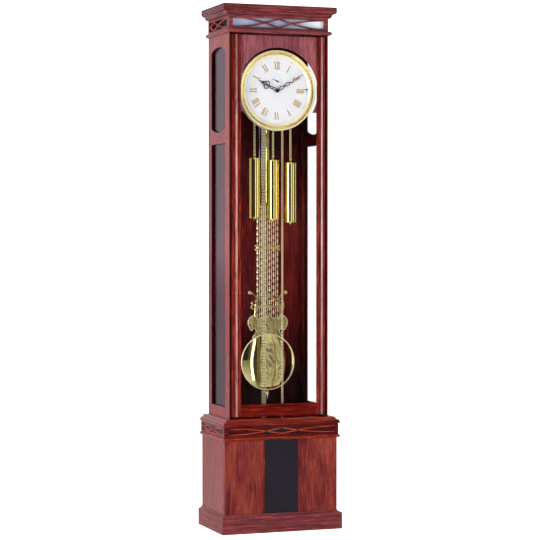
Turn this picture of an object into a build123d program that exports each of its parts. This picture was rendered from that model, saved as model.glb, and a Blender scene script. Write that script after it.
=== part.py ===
from build123d import *
import math
import os

# ---------------------------------------------------------------- driving dimensions (mm)
# X runs to the right, Y to the back (the front is negative), Z up. The back is one plane.
BACK = 152.5            # back plane of the whole case
WALL = 18.0             # board thickness of the case

PLINTH_W, PLINTH_F, PLINTH_TOP = 248.5, -152.5, 74.0
BASE_W, BASE_F = 232.5, -136.0
BASE_FLOOR_Z = (14.0, 28.0)
BLACK_HALF = 70.0       # half width of the black centre panel
BEAD_Z = (361.0, 372.0)
FRET_W, FRET_F = 237.0, -141.0
FRET_Z = (372.0, 417.0)
FRET_OPEN_Z = (383.0, 407.0)
FRET_OPEN_X = 222.0
FRET_OPEN_Y = (-125.0, 146.0)
BASE_TOP_Z = 442.0      # the trunk stands on this face

TRUNK_W = 205.0         # half width over the sides
TRUNK_F = -108.0
TRUNK_TOP = 1940.0
INNER_W = TRUNK_W - WALL
BACK_T = 12.0
WIN_Y = (-56.0, 112.0)  # side windows
LOW_WIN_Z = (485.0, 1513.0)
UP_WIN_Z = (1577.0, 1875.0)
UP_WIN_SAG = 18.0
PANE_X = (6.5, 9.5)      # side panes, measured outwards from the inner face

DOOR_W = 194.0          # half width of the door
DOOR_OPEN = 157.5       # half width of its opening
DOOR_F, DOOR_B = -111.0, -95.0
DOOR_Z = (449.5, 1933.0)
RAIL_TOP = 496.5
HEAD_Z0 = 1637.0        # lower edge of the arched head board
HEAD_R = 166.0          # round cut-out of the head board
PIVOT_X, PIVOT_Y = 195.0, -113.5
PIVOT_R = 2.5

DIAL_Z = 1721.3
BEZEL_R = 157.0
BEZEL_F, BEZEL_B = -94.0, -69.0
DIAL_VIS_R = 131.0
DIAL_F = -82.0
SECONDS_UP = 37.0       # centre of the seconds dial above the dial centre
HOUR_LEN, MINUTE_LEN, SECOND_LEN = 88.0, 125.0, 22.0
HOUR_DEG, MINUTE_DEG, SECOND_DEG = 297.0, 58.0, 295.0   # clockwise from twelve

PLATE_X = 92.0          # movement plates
PLATE_Z = (1666.0, 1806.0)
FRONT_PLATE_Y = (-66.0, -63.5)
BACK_PLATE_Y = (-10.0, -7.5)
CHAIN_Y = -30.0
WHEEL_Z = 1694.0
PITCH_R = 17.0          # chain wheel pitch radius
WHEEL_X = (-57.5, -14.0, 59.0)
WEIGHT_X = (-74.5, 3.0, 76.0)
FREE_X = (-40.5, -31.0, 42.0)
STRAND_R = 2.9
WEIGHT_TOP = (1458.5, 1452.0, 1442.0)
WEIGHT_H = 236.0
SHELL_R, FLANGE_R = 22.5, 24.0
FREE_END_Z = 190.0

PIVOT_Z = 1690.0        # pendulum suspension
ROD_Y = 26.5
ROD_R = 2.0
ROD_PITCH = 8.5
GRID_TOP = 1279.0
BOB_Z, BOB_R = 652.0, 112.5
SLACK = 0.06            # running clearance of shafts

# ---------------------------------------------------------------- helpers


def block(x0, x1, y0, y1, z0, z1, mode=Mode.ADD):
    with Locations(((x0 + x1) / 2, (y0 + y1) / 2, (z0 + z1) / 2)):
        Box(x1 - x0, y1 - y0, z1 - z0, mode=mode)


def rod_y(x, z, r, y0, y1, mode=Mode.ADD):
    with Locations(Location((x, (y0 + y1) / 2, z), (90, 0, 0))):
        Cylinder(r, y1 - y0, mode=mode)


def rod_z(x, y, r, z0, z1, mode=Mode.ADD):
    with Locations((x, y, (z0 + z1) / 2)):
        Cylinder(r, z1 - z0, mode=mode)


def plate_xz(points, y0, y1, mode=Mode.ADD):
    with BuildSketch(Plane.XZ.offset(-y1)) as sk:
        Polygon(*points, align=None)
    extrude(sk.sketch, amount=y1 - y0, mode=mode)


def plate_xy(points, z0, z1, mode=Mode.ADD):
    with BuildSketch(Plane.XY.offset(z0)) as sk:
        Polygon(*points, align=None)
    extrude(sk.sketch, amount=z1 - z0, mode=mode)


def plate_yz(points, x0, x1, mode=Mode.ADD):
    with BuildSketch(Plane.YZ.offset(x0)) as sk:
        Polygon(*points, align=None)
    extrude(sk.sketch, amount=x1 - x0, mode=mode)


def moulded(steps):
    """A block with the same moulding on its front and both sides and a flat back.
    steps: (half width, front y, z) from the bottom up."""
    wide = [(w, z) for w, f, z in steps] + [(-w, z) for w, f, z in reversed(steps)]
    deep = [(f, z) for w, f, z in steps] + [(BACK, z) for w, f, z in (steps[-1], steps[0])]
    with BuildSketch(Plane.XZ) as sk:
        Polygon(*wide, align=None)
    extrude(sk.sketch, amount=400, both=True)
    with BuildSketch(Plane.YZ) as sk:
        Polygon(*deep, align=None)
    extrude(sk.sketch, amount=400, both=True, mode=Mode.INTERSECT)


def bar_line(start, span, low, high, rising, count=14):
    """Centre line of one curved lattice bar: flat at the outer end, steep at the middle."""
    pts = []
    for i in range(count + 1):
        u = i / count
        drop = (high - low) * u * u
        pts.append((start + span * u, low + drop if rising else high - drop))
    return pts


def ribbon(points, half):
    """Polygon of a bar of constant height around a centre line."""
    up = [(a, b + half) for a, b in points]
    down = [(a, b - half) for a, b in reversed(points)]
    return up + down


def turned(points, deg, cx=0.0, cz=0.0):
    """Turns (side, along) points of a hand to an angle counted clockwise from twelve."""
    a = math.radians(deg)
    return [(cx + s * math.cos(a) + l * math.sin(a), cz - s * math.sin(a) + l * math.cos(a)) for s, l in points]


os.makedirs("parts", exist_ok=True)


def save(builder, name):
    builder.part.label = name
    export_step(builder.part, "parts/" + name + ".step")


# ---------------------------------------------------------------- base
with BuildPart() as plinth:
    moulded([(PLINTH_W, PLINTH_F, 0), (PLINTH_W, PLINTH_F, 66), (PLINTH_W - 1.5, PLINTH_F + 1.5, 67.5),
             (PLINTH_W - 9, PLINTH_F + 9, 69.5), (PLINTH_W - 13, PLINTH_F + 13, 72), (PLINTH_W - 14.5, PLINTH_F + 14.5, 74)])
    block(-BASE_W, BASE_W, BASE_F, BACK + 1, -1, 80, Mode.SUBTRACT)
save(plinth, "plinth")

with BuildPart() as base_side_left:
    block(-BASE_W, -BASE_W + WALL, BASE_F + WALL, BACK, 12, FRET_Z[1])
save(base_side_left, "base_side_left")

with BuildPart() as base_side_right:
    block(BASE_W - WALL, BASE_W, BASE_F + WALL, BACK, 12, FRET_Z[1])
save(base_side_right, "base_side_right")

with BuildPart() as base_floor:
    block(-BASE_W + WALL, BASE_W - WALL, BASE_F + WALL, BACK - BACK_T, BASE_FLOOR_Z[0], BASE_FLOOR_Z[1])
save(base_floor, "base_floor")

with BuildPart() as base_panel_left:
    block(-BASE_W, -BLACK_HALF, BASE_F, BASE_F + WALL, 12, FRET_Z[1])
save(base_panel_left, "base_panel_left")

with BuildPart() as base_panel_right:
    block(BLACK_HALF, BASE_W, BASE_F, BASE_F + WALL, 12, FRET_Z[1])
save(base_panel_right, "base_panel_right")

with BuildPart() as base_panel_black:
    block(-BLACK_HALF, BLACK_HALF, BASE_F + 0.6, BASE_F + WALL, 12, FRET_Z[1])
save(base_panel_black, "base_panel_black")

with BuildPart() as base_bead:
    moulded([(238.5, -142.5, 361), (241.5, -145.5, 362.6), (242.5, -146.5, 366.5), (241.5, -145.5, 370.4), (238.5, -142.5, 372)])
    block(-BASE_W, BASE_W, BASE_F, BACK + 1, 350, 380, Mode.SUBTRACT)
save(base_bead, "base_bead")

with BuildPart() as base_fretwork:
    block(-FRET_W, FRET_W, FRET_F, BACK, FRET_Z[0], FRET_Z[1])
    block(-BASE_W, BASE_W, BASE_F, BACK + 1, FRET_Z[0] - 1, FRET_Z[1] + 1, Mode.SUBTRACT)
    block(-FRET_OPEN_X, FRET_OPEN_X, FRET_F - 1, BASE_F + 1, FRET_OPEN_Z[0], FRET_OPEN_Z[1], Mode.SUBTRACT)
    for side in (-1, 1):
        block(min(side * 230, side * 240), max(side * 230, side * 240), FRET_OPEN_Y[0], FRET_OPEN_Y[1],
              FRET_OPEN_Z[0], FRET_OPEN_Z[1], Mode.SUBTRACT)
    for rising in (True, False):
        low, high = FRET_OPEN_Z[0] - 0.2, FRET_OPEN_Z[1] + 0.2
        for s in (-1, 1):
            line = bar_line(s * (FRET_OPEN_X + 3), -s * (FRET_OPEN_X + 3), low, high, rising)
            plate_xz(ribbon(line, 1.9), FRET_F + 0.5, BASE_F)
            first = [(y, z) for y, z in bar_line(FRET_OPEN_Y[0] - 2, 190, low, high, rising)]
            second = [(y, z) for y, z in bar_line(FRET_OPEN_Y[0] + 378, -190, low, high, rising) if y < FRET_OPEN_Y[1] + 3]
            for line_y in (first, second):
                if s < 0:
                    plate_yz(ribbon(line_y, 1.9), -FRET_W + 0.5, -BASE_W)
                else:
                    plate_yz(ribbon(line_y, 1.9), BASE_W, FRET_W - 0.5)
save(base_fretwork, "base_fretwork")

with BuildPart() as base_top:
    moulded([(239, -144, 417), (244, -150, 418.5), (244.5, -150.5, 420), (243.5, -149.5, 422), (240.5, -146.5, 423),
             (240.5, -146.5, 425), (238.5, -144.5, 429), (233, -139, 432.5), (228.5, -134.5, 434), (228.5, -134.5, 436),
             (226.5, -132.5, 439.5), (221, -127.5, 442)])
    block(-70, 70, -50, -10, 410, 450, Mode.SUBTRACT)
save(base_top, "base_top")

# ---------------------------------------------------------------- trunk
for sgn, tag in ((-1, "left"), (1, "right")):
    with BuildPart() as trunk_side:
        xs = sorted((sgn * INNER_W, sgn * TRUNK_W))
        block(xs[0], xs[1], TRUNK_F, BACK, BASE_TOP_Z, TRUNK_TOP)
        # rebate that the door closes on
        xr = sorted((sgn * (INNER_W - 1), sgn * (DOOR_W + 0.6)))
        block(xr[0], xr[1], TRUNK_F - 1, DOOR_B + 0.5, BASE_TOP_Z - 1, TRUNK_TOP + 1, Mode.SUBTRACT)
        # lower and upper window with the glass rebate on the inner face
        xw = sorted((sgn * (INNER_W - 1), sgn * (TRUNK_W + 1)))
        block(xw[0], xw[1], WIN_Y[0], WIN_Y[1], LOW_WIN_Z[0], LOW_WIN_Z[1], Mode.SUBTRACT)
        half = (WIN_Y[1] - WIN_Y[0]) / 2
        mid = (WIN_Y[1] + WIN_Y[0]) / 2
        rad = (half * half + UP_WIN_SAG * UP_WIN_SAG) / (2 * UP_WIN_SAG)
        outline = []
        for i in range(25):
            y = WIN_Y[0] + (WIN_Y[1] - WIN_Y[0]) * i / 24
            outline.append((y, UP_WIN_Z[1] + math.sqrt(rad * rad - (y - mid) ** 2) - (rad - UP_WIN_SAG)))
        for i in range(25):
            y = WIN_Y[1] - (WIN_Y[1] - WIN_Y[0]) * i / 24
            outline.append((y, UP_WIN_Z[0] - math.sqrt(rad * rad - (y - mid) ** 2) + (rad - UP_WIN_SAG)))
        plate_yz(outline, xw[0], xw[1], Mode.SUBTRACT)
        xg = sorted((sgn * (INNER_W - 1), sgn * (INNER_W + PANE_X[1])))
        block(xg[0], xg[1], WIN_Y[0] - 6, WIN_Y[1] + 6, LOW_WIN_Z[0] - 6, LOW_WIN_Z[1] + 6, Mode.SUBTRACT)
        block(xg[0], xg[1], WIN_Y[0] - 6, WIN_Y[1] + 6, 1553, 1899, Mode.SUBTRACT)
    save(trunk_side, "trunk_side_" + tag)
    with BuildPart() as pane_low:
        xp = sorted((sgn * (INNER_W + PANE_X[0]), sgn * (INNER_W + PANE_X[1])))
        block(xp[0], xp[1], WIN_Y[0] - 6, WIN_Y[1] + 6, LOW_WIN_Z[0] - 6, LOW_WIN_Z[1] + 6)
    save(pane_low, "side_glass_lower_" + tag)
    with BuildPart() as pane_up:
        block(xp[0], xp[1], WIN_Y[0] - 6, WIN_Y[1] + 6, 1553, 1899)
    save(pane_up, "side_glass_upper_" + tag)

with BuildPart() as back_panel:
    block(-INNER_W, INNER_W, BACK - BACK_T, BACK, BASE_TOP_Z, TRUNK_TOP)
save(back_panel, "back_panel")

with BuildPart() as base_back:
    block(-BASE_W + WALL, BASE_W - WALL, BACK - BACK_T, BACK, 12, FRET_Z[1])
save(base_back, "base_back")

with BuildPart() as seatboard:
    block(-95, 95, -72, 8, 1650, PLATE_Z[0])
    block(-95, -80, 8, BACK - BACK_T, 1650, PLATE_Z[0])
    block(80, 95, 8, BACK - BACK_T, 1650, PLATE_Z[0])
    block(-80, 82, -38, -22, 1640, 1670, Mode.SUBTRACT)
save(seatboard, "seatboard")

# ---------------------------------------------------------------- hood
with BuildPart() as hood_moulding:
    moulded([(209.5, -114.5, 1940), (214, -119, 1941.2), (216.5, -121.5, 1944), (217, -122, 1947.7),
             (216.5, -121.5, 1951.5), (214, -119, 1954.3), (209.5, -114.5, 1955.5)])
    block(-INNER_W, INNER_W, -84, BACK - BACK_T, 1930, 1960, Mode.SUBTRACT)
save(hood_moulding, "hood_moulding")

HOOD_W, HOOD_F, HOOD_Z = 206.0, -109.0, (1955.5, 2009.0)
HOOD_OPEN_X, HOOD_OPEN_Z = 190.0, (1963.0, 1999.0)
HOOD_OPEN_Y = (-85.0, 143.0)
with BuildPart() as hood_fretwork:
    block(-HOOD_W, HOOD_W, HOOD_F, BACK, HOOD_Z[0], HOOD_Z[1])
    block(-HOOD_W + 14, HOOD_W - 14, HOOD_F + 14, BACK - BACK_T, HOOD_Z[0] - 1, HOOD_Z[1] + 1, Mode.SUBTRACT)
    block(-HOOD_OPEN_X, HOOD_OPEN_X, HOOD_F - 1, HOOD_F + 15, HOOD_OPEN_Z[0], HOOD_OPEN_Z[1], Mode.SUBTRACT)
    for side in (-1, 1):
        xs = sorted((side * (HOOD_W - 15), side * (HOOD_W + 1)))
        block(xs[0], xs[1], HOOD_OPEN_Y[0], BACK - BACK_T - 0.5, HOOD_OPEN_Z[0], HOOD_OPEN_Z[1], Mode.SUBTRACT)
    low, high = HOOD_OPEN_Z[0] - 0.2, HOOD_OPEN_Z[1] + 0.2
    for rising in (True, False):
        for s in (-1, 1):
            line = bar_line(s * (HOOD_OPEN_X + 3), -s * (HOOD_OPEN_X + 3), low, high, rising)
            plate_xz(ribbon(line, 2.3), HOOD_F + 1, HOOD_F + 9)
            first = bar_line(HOOD_OPEN_Y[0] - 2, 170, low, high, rising)
            second = [(y, z) for y, z in bar_line(HOOD_OPEN_Y[0] + 338, -170, low, high, rising) if y < HOOD_OPEN_Y[1] + 3]
            for line_y in (first, second):
                if s < 0:
                    plate_yz(ribbon(line_y, 2.3), -HOOD_W + 1, -HOOD_W + 9)
                else:
                    plate_yz(ribbon(line_y, 2.3), HOOD_W - 9, HOOD_W - 1)
save(hood_fretwork, "hood_fretwork")

with BuildPart() as hood_pane:
    block(-HOOD_W + 14, HOOD_W - 14, HOOD_F + 14, HOOD_F + 17, HOOD_Z[0], HOOD_Z[1])
save(hood_pane, "hood_pane")

with BuildPart() as cornice:
    moulded([(217, -115, 2009), (217, -115, 2012), (218, -116, 2013.5), (220, -117.5, 2018), (224, -120.5, 2022),
             (229, -124, 2024.5), (231, -125.5, 2025), (231, -125.5, 2026), (234.5, -129, 2029), (234.5, -129, 2049),
             (233.5, -128, 2050)])
    block(-HOOD_W + 14, HOOD_W - 14, HOOD_F + 14, BACK - BACK_T, 2000, 2026, Mode.SUBTRACT)
save(cornice, "cornice")

# ---------------------------------------------------------------- door
STILE = [(157.5, -95), (157.5, -103), (162.2, -103), (162.2, -106), (157.5, -106), (157.5, -108.2), (158.3, -109),
         (167.2, -109), (168.2, -108), (168.6, -106.4), (170.6, -106.2), (171.0, -108.4), (172.2, -109.9), (174.2, -110.8),
         (176.5, -111), (178.8, -110.8), (180.8, -109.9), (182.0, -108.4), (182.4, -106.8), (184.5, -106.2),
         (187.5, -104.4), (190.5, -103.2), (194, -102.8), (194, -95)]
for sgn, tag in ((-1, "left"), (1, "right")):
    with BuildPart() as stile:
        plate_xy([(sgn * x, y) for x, y in STILE], DOOR_Z[0], DOOR_Z[1])
        xs = sorted((sgn * (DOOR_OPEN - 1), sgn * 178.2))
        block(xs[0], xs[1], -103, -94, HEAD_Z0, DOOR_Z[1] + 1, Mode.SUBTRACT)
        # the lip behind the glass is narrower than the one in front of it
        xs = sorted((sgn * (DOOR_OPEN - 1), sgn * (DOOR_OPEN + 3.3)))
        block(xs[0], xs[1], -103, -94, RAIL_TOP, DOOR_Z[1] + 1, Mode.SUBTRACT)
    save(stile, "door_stile_" + tag)

with BuildPart() as door_rail:
    block(-DOOR_OPEN, DOOR_OPEN, -109, DOOR_B, DOOR_Z[0], RAIL_TOP)
    block(-DOOR_OPEN, DOOR_OPEN, -106, -103, 490, RAIL_TOP + 1, Mode.SUBTRACT)
save(door_rail, "door_rail")

with BuildPart() as door_head:
    block(-178, 178, -103, DOOR_B, HEAD_Z0, DOOR_Z[1])
    rod_y(0, DIAL_Z, HEAD_R, -110, -90, Mode.SUBTRACT)
save(door_head, "door_head")

with BuildPart() as door_glass:
    block(-162, 162, -106, -103, 490, DOOR_Z[1] - 2)
save(door_glass, "door_glass")

with BuildPart() as door_pivot_arms:
    for z0 in (DOOR_Z[0] - 2.5, DOOR_Z[1]):
        block(176, PIVOT_X, -118, -109, z0, z0 + 2.5)
        block(176, 193.5, -109, -97, z0, z0 + 2.5)
        rod_z(PIVOT_X, PIVOT_Y, 4.5, z0, z0 + 2.5)
    rod_z(PIVOT_X, PIVOT_Y, PIVOT_R + SLACK, 440, 1945, Mode.SUBTRACT)
save(door_pivot_arms, "door_pivot_arms")

with BuildPart() as case_pivots:
    for z0 in (BASE_TOP_Z, TRUNK_TOP - 2.5):
        block(180, 200, -119, -108.3, z0, z0 + 2.5)
        block(180, 194, -108.3, -96, z0, z0 + 2.5)
    rod_z(PIVOT_X, PIVOT_Y, PIVOT_R, BASE_TOP_Z + 2.5, DOOR_Z[0] - 0.2)
    rod_z(PIVOT_X, PIVOT_Y, PIVOT_R, DOOR_Z[1] + 0.2, TRUNK_TOP - 2.5)
save(case_pivots, "case_pivots")

# ---------------------------------------------------------------- movement
for tag, (y0, y1) in (("front", FRONT_PLATE_Y), ("back", BACK_PLATE_Y)):
    with BuildPart() as plate:
        block(-PLATE_X, PLATE_X, y0, y1, PLATE_Z[0], PLATE_Z[1])
        # arbor holes
        rod_y(0, DIAL_Z, 2.5 + SLACK, -70, -60, Mode.SUBTRACT)
        rod_y(0, DIAL_Z + SECONDS_UP, 1 + SLACK, -70, 0, Mode.SUBTRACT)
        for x in WHEEL_X:
            rod_y(x, WHEEL_Z, 2.5 + SLACK, -70, 0, Mode.SUBTRACT)
    save(plate, "movement_plate_" + tag)

with BuildPart() as movement_pillars:
    for x in (-86, 86):
        for z in (1673, 1798):
            rod_y(x, z, 4, FRONT_PLATE_Y[1], BACK_PLATE_Y[0])
    # dial posts
    for x in (-50, 50):
        for z in (DIAL_Z - 50, DIAL_Z + 50):
            rod_y(x, z, 4, -80.5, FRONT_PLATE_Y[0])
    # selector pivot stud
    rod_y(84, DIAL_Z, 2, -77.5, FRONT_PLATE_Y[0])
save(movement_pillars, "movement_pillars")

with BuildPart() as suspension_cock:
    block(-10, 10, BACK_PLATE_Y[1], 16, 1680, 1702)
    rod_y(0, PIVOT_Z, 2, 16, 36)
save(suspension_cock, "suspension_cock")

for i, tag in enumerate(("left", "centre", "right")):
    with BuildPart() as wheel:
        x = WHEEL_X[i]
        rod_y(x, WHEEL_Z, 2.5, -67, -6.5)
        rod_y(x, WHEEL_Z, PITCH_R - STRAND_R - 0.4, CHAIN_Y - 3.3, CHAIN_Y + 3.3)
        rod_y(x, WHEEL_Z, 20, CHAIN_Y - 4.8, CHAIN_Y - 3.3)
        rod_y(x, WHEEL_Z, 20, CHAIN_Y + 3.3, CHAIN_Y + 4.8)
        gy = -46.0 if i == 1 else -52.0
        rod_y(x, WHEEL_Z, 25.5, gy, gy + 2.5)
        rod_y(x, WHEEL_Z, 7, gy + 2.5, CHAIN_Y - 4.8)
        for k in range(5):
            a = math.radians(72 * k + 18)
            rod_y(x + 15 * math.cos(a), WHEEL_Z + 15 * math.sin(a), 5, gy - 1, gy + 3.5, Mode.SUBTRACT)
    save(wheel, "chain_wheel_" + tag)

with BuildPart() as dial_bezel:
    with BuildSketch(Plane.YZ):
        # half section, drawn from the dial axis outwards (y, radius)
        Polygon((-69, 154.0), (-69, 157.0), (-92.5, 157.0), (-94.0, 155.5), (-94.0, 152.5), (-92.6, 151.2), (-92.2, 149.0),
                (-90.8, 146.0), (-89.6, 142.5), (-89.8, 140.6), (-90.4, 140.0), (-90.2, 138.6), (-88.2, 136.6),
                (-84.2, 132.2), (-82.6, 131.2), (-82.0, 131.2), (-82.0, 139.4), (-80.5, 139.4), (-80.5, 142.0),
                (-87.4, 146.0), (-89.6, 151.0), (-90.4, 154.0), align=None)
    revolve(axis=Axis.Y)
with BuildPart() as dial_bezel_placed:
    with Locations((0, 0, DIAL_Z)):
        add(dial_bezel.part)
save(dial_bezel_placed, "dial_bezel")

SEL_X, SEL_DEG = 84.0, 9.8   # selector pivot and its upper position
with BuildPart() as dial:
    rod_y(0, DIAL_Z, 139.3, DIAL_F, DIAL_F + 1.5)
    rod_y(0, DIAL_Z, 6.0, DIAL_F - 1, DIAL_F + 3, Mode.SUBTRACT)
    rod_y(0, DIAL_Z + SECONDS_UP, 1.6, DIAL_F - 1, DIAL_F + 3, Mode.SUBTRACT)
    slot = [(SEL_X + 43.2 * math.cos(math.radians(a)), DIAL_Z + 43.2 * math.sin(math.radians(a))) for a in range(-14, 15, 2)]
    slot += [(SEL_X + 38.8 * math.cos(math.radians(a)), DIAL_Z + 38.8 * math.sin(math.radians(a))) for a in range(14, -15, -2)]
    plate_xz(slot, DIAL_F - 1, DIAL_F + 3, Mode.SUBTRACT)
save(dial, "dial")

with BuildPart() as selector_lever:
    a = math.radians(SEL_DEG)
    ca, sa = math.cos(a), math.sin(a)

    def along(points):
        return [(SEL_X + l * ca - s * sa, DIAL_Z + l * sa + s * ca) for l, s in points]

    plate_xz(along([(0, -3), (42.5, -2), (42.5, 2), (0, 3)]), -76.5, -75.3)
    rod_y(SEL_X, DIAL_Z, 5, -76.5, -74.0)
    rod_y(SEL_X + 41 * ca, DIAL_Z + 41 * sa, 1.3, -85.0, -75.3)
    plate_xz(along([(30.5, 0.8), (33, 1.5), (40, 2.1), (44, 2.2), (45.2, 1.2), (45.2, -1.2), (44, -2.2), (40, -2.1), (33, -0.6)]),
             -85.2, -84.2)
    rod_y(SEL_X, DIAL_Z, 2 + SLACK, -80, -70, Mode.SUBTRACT)
save(selector_lever, "selector_lever")

with BuildPart() as hour_hand:
    y0, y1 = -87.0, -86.0
    c = (0.0, DIAL_Z)
    rod_y(0, DIAL_Z, 9, y0, y1)
    for pts in ([(-2.2, 0), (-2.6, 26), (-1.6, 40), (1.6, 40), (2.6, 26), (2.2, 0)],
                [(-1.6, 40), (-12.5, 43), (-14, 49), (-9, 55), (-10.5, 62), (-4, 63), (-1.6, 70), (-0.5, 88), (0.5, 88),
                 (1.6, 70), (4, 63), (10.5, 62), (9, 55), (14, 49), (12.5, 43), (1.6, 40)]):
        plate_xz(turned(pts, HOUR_DEG, *c), y0, y1)
    for s, l, r in ((-7.5, 48.5, 3.6), (7.5, 48.5, 3.6), (0, 56.5, 2.8)):
        p = turned([(s, l)], HOUR_DEG, *c)[0]
        rod_y(p[0], p[1], r, y0 - 1, y1 + 1, Mode.SUBTRACT)
    for s, l, r in ((0, 14, 4.6), (0, 24, 5.2)):
        p = turned([(s, l)], HOUR_DEG, *c)[0]
        rod_y(p[0], p[1], r, y0, y1)
        rod_y(p[0], p[1], r - 2.2, y0 - 1, y1 + 1, Mode.SUBTRACT)
    rod_y(0, DIAL_Z, 5, y1, -67.5)
    rod_y(0, DIAL_Z, 2.5 + SLACK, -95, -60, Mode.SUBTRACT)
save(hour_hand, "hour_hand")

with BuildPart() as minute_hand:
    y0, y1 = -90.0, -89.0
    rod_y(0, DIAL_Z, 9, y0, y1)
    wave = []
    for i in range(41):
        l = 8 + 97 * i / 40
        amp = 5.2 * math.sin(math.pi * i / 40) ** 0.5
        wave.append((amp * math.sin(2 * math.pi * i / 20 + 0.3), l))
    left = [(s - 1.4, l) for s, l in wave]
    right = [(s + 1.4, l) for s, l in reversed(wave)]
    plate_xz(turned(left + right, MINUTE_DEG, 0, DIAL_Z), y0, y1)
    plate_xz(turned([(-1.9, 0), (-1.3, 60), (-1.1, 104), (-0.5, MINUTE_LEN), (0.5, MINUTE_LEN), (1.1, 104), (1.3, 60), (1.9, 0)],
                    MINUTE_DEG, 0, DIAL_Z), y0, y1)
    rod_y(0, DIAL_Z, 2.5, -91, -61)
    rod_y(0, DIAL_Z, 6.5, -92, y0)
    rod_y(0, DIAL_Z, 3.2, -93, -92)
save(minute_hand, "minute_hand")

with BuildPart() as second_hand:
    cz = DIAL_Z + SECONDS_UP
    plate_xz(turned([(-0.9, -8), (-1.3, -3), (-0.5, 6), (-0.3, SECOND_LEN), (0.3, SECOND_LEN), (0.5, 6), (1.3, -3), (0.9, -8)],
                    SECOND_DEG, 0, cz), -84.2, -83.5)
    rod_y(0, cz, 2.6, -84.4, -83.5)
    rod_y(0, cz, 1, -84.4, -6.5)
    rod_y(0, cz, 15, -56, -54.5)
    rod_y(0, cz, 3.2, -54.5, -50)
save(second_hand, "second_hand")

with BuildPart() as chime_set:
    block(-14, 48, 100, BACK - BACK_T, 1756, 1782)
    for i in range(5):
        rod_z(-3 + 10 * i, 112, 2.5, 1335 + 25 * i, 1756)
save(chime_set, "chime_set")

# ---------------------------------------------------------------- weights and chains
for i, tag in enumerate(("left", "centre", "right")):
    top = WEIGHT_TOP[i]
    wx = WEIGHT_X[i]
    with BuildPart() as weight:
        rod_z(wx, CHAIN_Y, SHELL_R, top - WEIGHT_H + 2.5, top - 2.5)
        rod_z(wx, CHAIN_Y, FLANGE_R, top - 2.5, top)
        rod_z(wx, CHAIN_Y, FLANGE_R, top - WEIGHT_H, top - WEIGHT_H + 2.5)
        rod_z(wx, CHAIN_Y, 5.5, top - WEIGHT_H - 4, top - WEIGHT_H)
        rod_z(wx, CHAIN_Y, 2.6, top - WEIGHT_H - 8, top - WEIGHT_H - 4)
        rod_z(wx, CHAIN_Y, 4.5, top, top + 3)
        rod_z(wx, CHAIN_Y, 1.6, top + 3, top + 6.5)
        with Locations(Location((wx, CHAIN_Y, top + 10.5), (90, 0, 0))):
            Torus(4.6, 1.3)
    save(weight, "weight_" + tag)
    with BuildPart() as strand:
        rod_z(wx, CHAIN_Y, STRAND_R, top + 17, WHEEL_Z)
    save(strand, "chain_weight_" + tag)
    with BuildPart() as free:
        rod_z(FREE_X[i], CHAIN_Y, STRAND_R, FREE_END_Z, WHEEL_Z)
    save(free, "chain_free_" + tag)
    with BuildPart() as ring:
        with Locations(Location((FREE_X[i], CHAIN_Y, FREE_END_Z - 10), (0, 90, 0))):
            Torus(7.5, 1.3)
        rod_z(FREE_X[i], CHAIN_Y, 1.3, FREE_END_Z - 2.5, FREE_END_Z - 0.3)
    save(ring, "chain_end_" + tag)

# ---------------------------------------------------------------- pendulum
with BuildPart() as pendulum_rods:
    block(-5.5, 5.5, ROD_Y - 1, ROD_Y + 1, GRID_TOP, PIVOT_Z)
    rod_y(0, PIVOT_Z, 7, ROD_Y - 1, ROD_Y + 1)
    block(-47, 47, ROD_Y - 2, ROD_Y + 2, GRID_TOP - 6, GRID_TOP + 6)
    for i in range(-5, 6):
        rod_z(ROD_PITCH * i, ROD_Y, ROD_R, 800 if i else 506, GRID_TOP - 5)
    block(-54, 54, ROD_Y - 3.2, ROD_Y + 2, 1101, 1111)
    block(-46, 46, ROD_Y - 2, ROD_Y + 2, 796, 806)
    rod_y(0, PIVOT_Z, 2 + SLACK, 10, 40, Mode.SUBTRACT)
save(pendulum_rods, "pendulum_rods")

LYRE_Y = (22.0, 24.5)
with BuildPart() as pendulum_lyre:
    half = [(0, 824), (8, 838), (14, 826), (24, 822), (34, 826), (44, 818), (50, 829), (54, 836), (62, 835), (70, 831), (78, 823),
            (81, 813), (80, 800), (75, 789), (71, 782), (66, 780), (64, 786), (60, 789), (54, 787), (49, 780), (48, 772),
            (52, 762), (59, 757), (62, 750), (59, 744), (50, 742), (40, 720), (0, 700)]
    plate_xz(half + [(-x, z) for x, z in reversed(half)][1:-1], LYRE_Y[0], LYRE_Y[1])
    arm = [(55, 832), (51, 850), (50, 879), (46, 893), (48, 906), (57, 919), (70, 925)]
    for s in (-1, 1):
        pts = [(s * (x - 2.6), z) for x, z in arm] + [(s * (x + 2.6), z + 1) for x, z in reversed(arm)]
        plate_xz(pts, LYRE_Y[0], LYRE_Y[1])
        with Locations((s * 75, (LYRE_Y[0] + LYRE_Y[1]) / 2 - 0.5, 927.5)):
            Sphere(6.5)
        rod_y(s * 60, 872, 7, LYRE_Y[0], LYRE_Y[1])
        rod_y(s * 60, 872, 3, LYRE_Y[0] - 1, LYRE_Y[1] + 1, Mode.SUBTRACT)
    block(-54, 54, LYRE_Y[0], LYRE_Y[1], 868, 876)
    block(-48, 48, LYRE_Y[0], LYRE_Y[1], 904, 911)
    plate_xz([(-9, 911), (-6, 922), (0, 935), (6, 922), (9, 911)], LYRE_Y[0], LYRE_Y[1])
save(pendulum_lyre, "pendulum_lyre")

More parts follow.
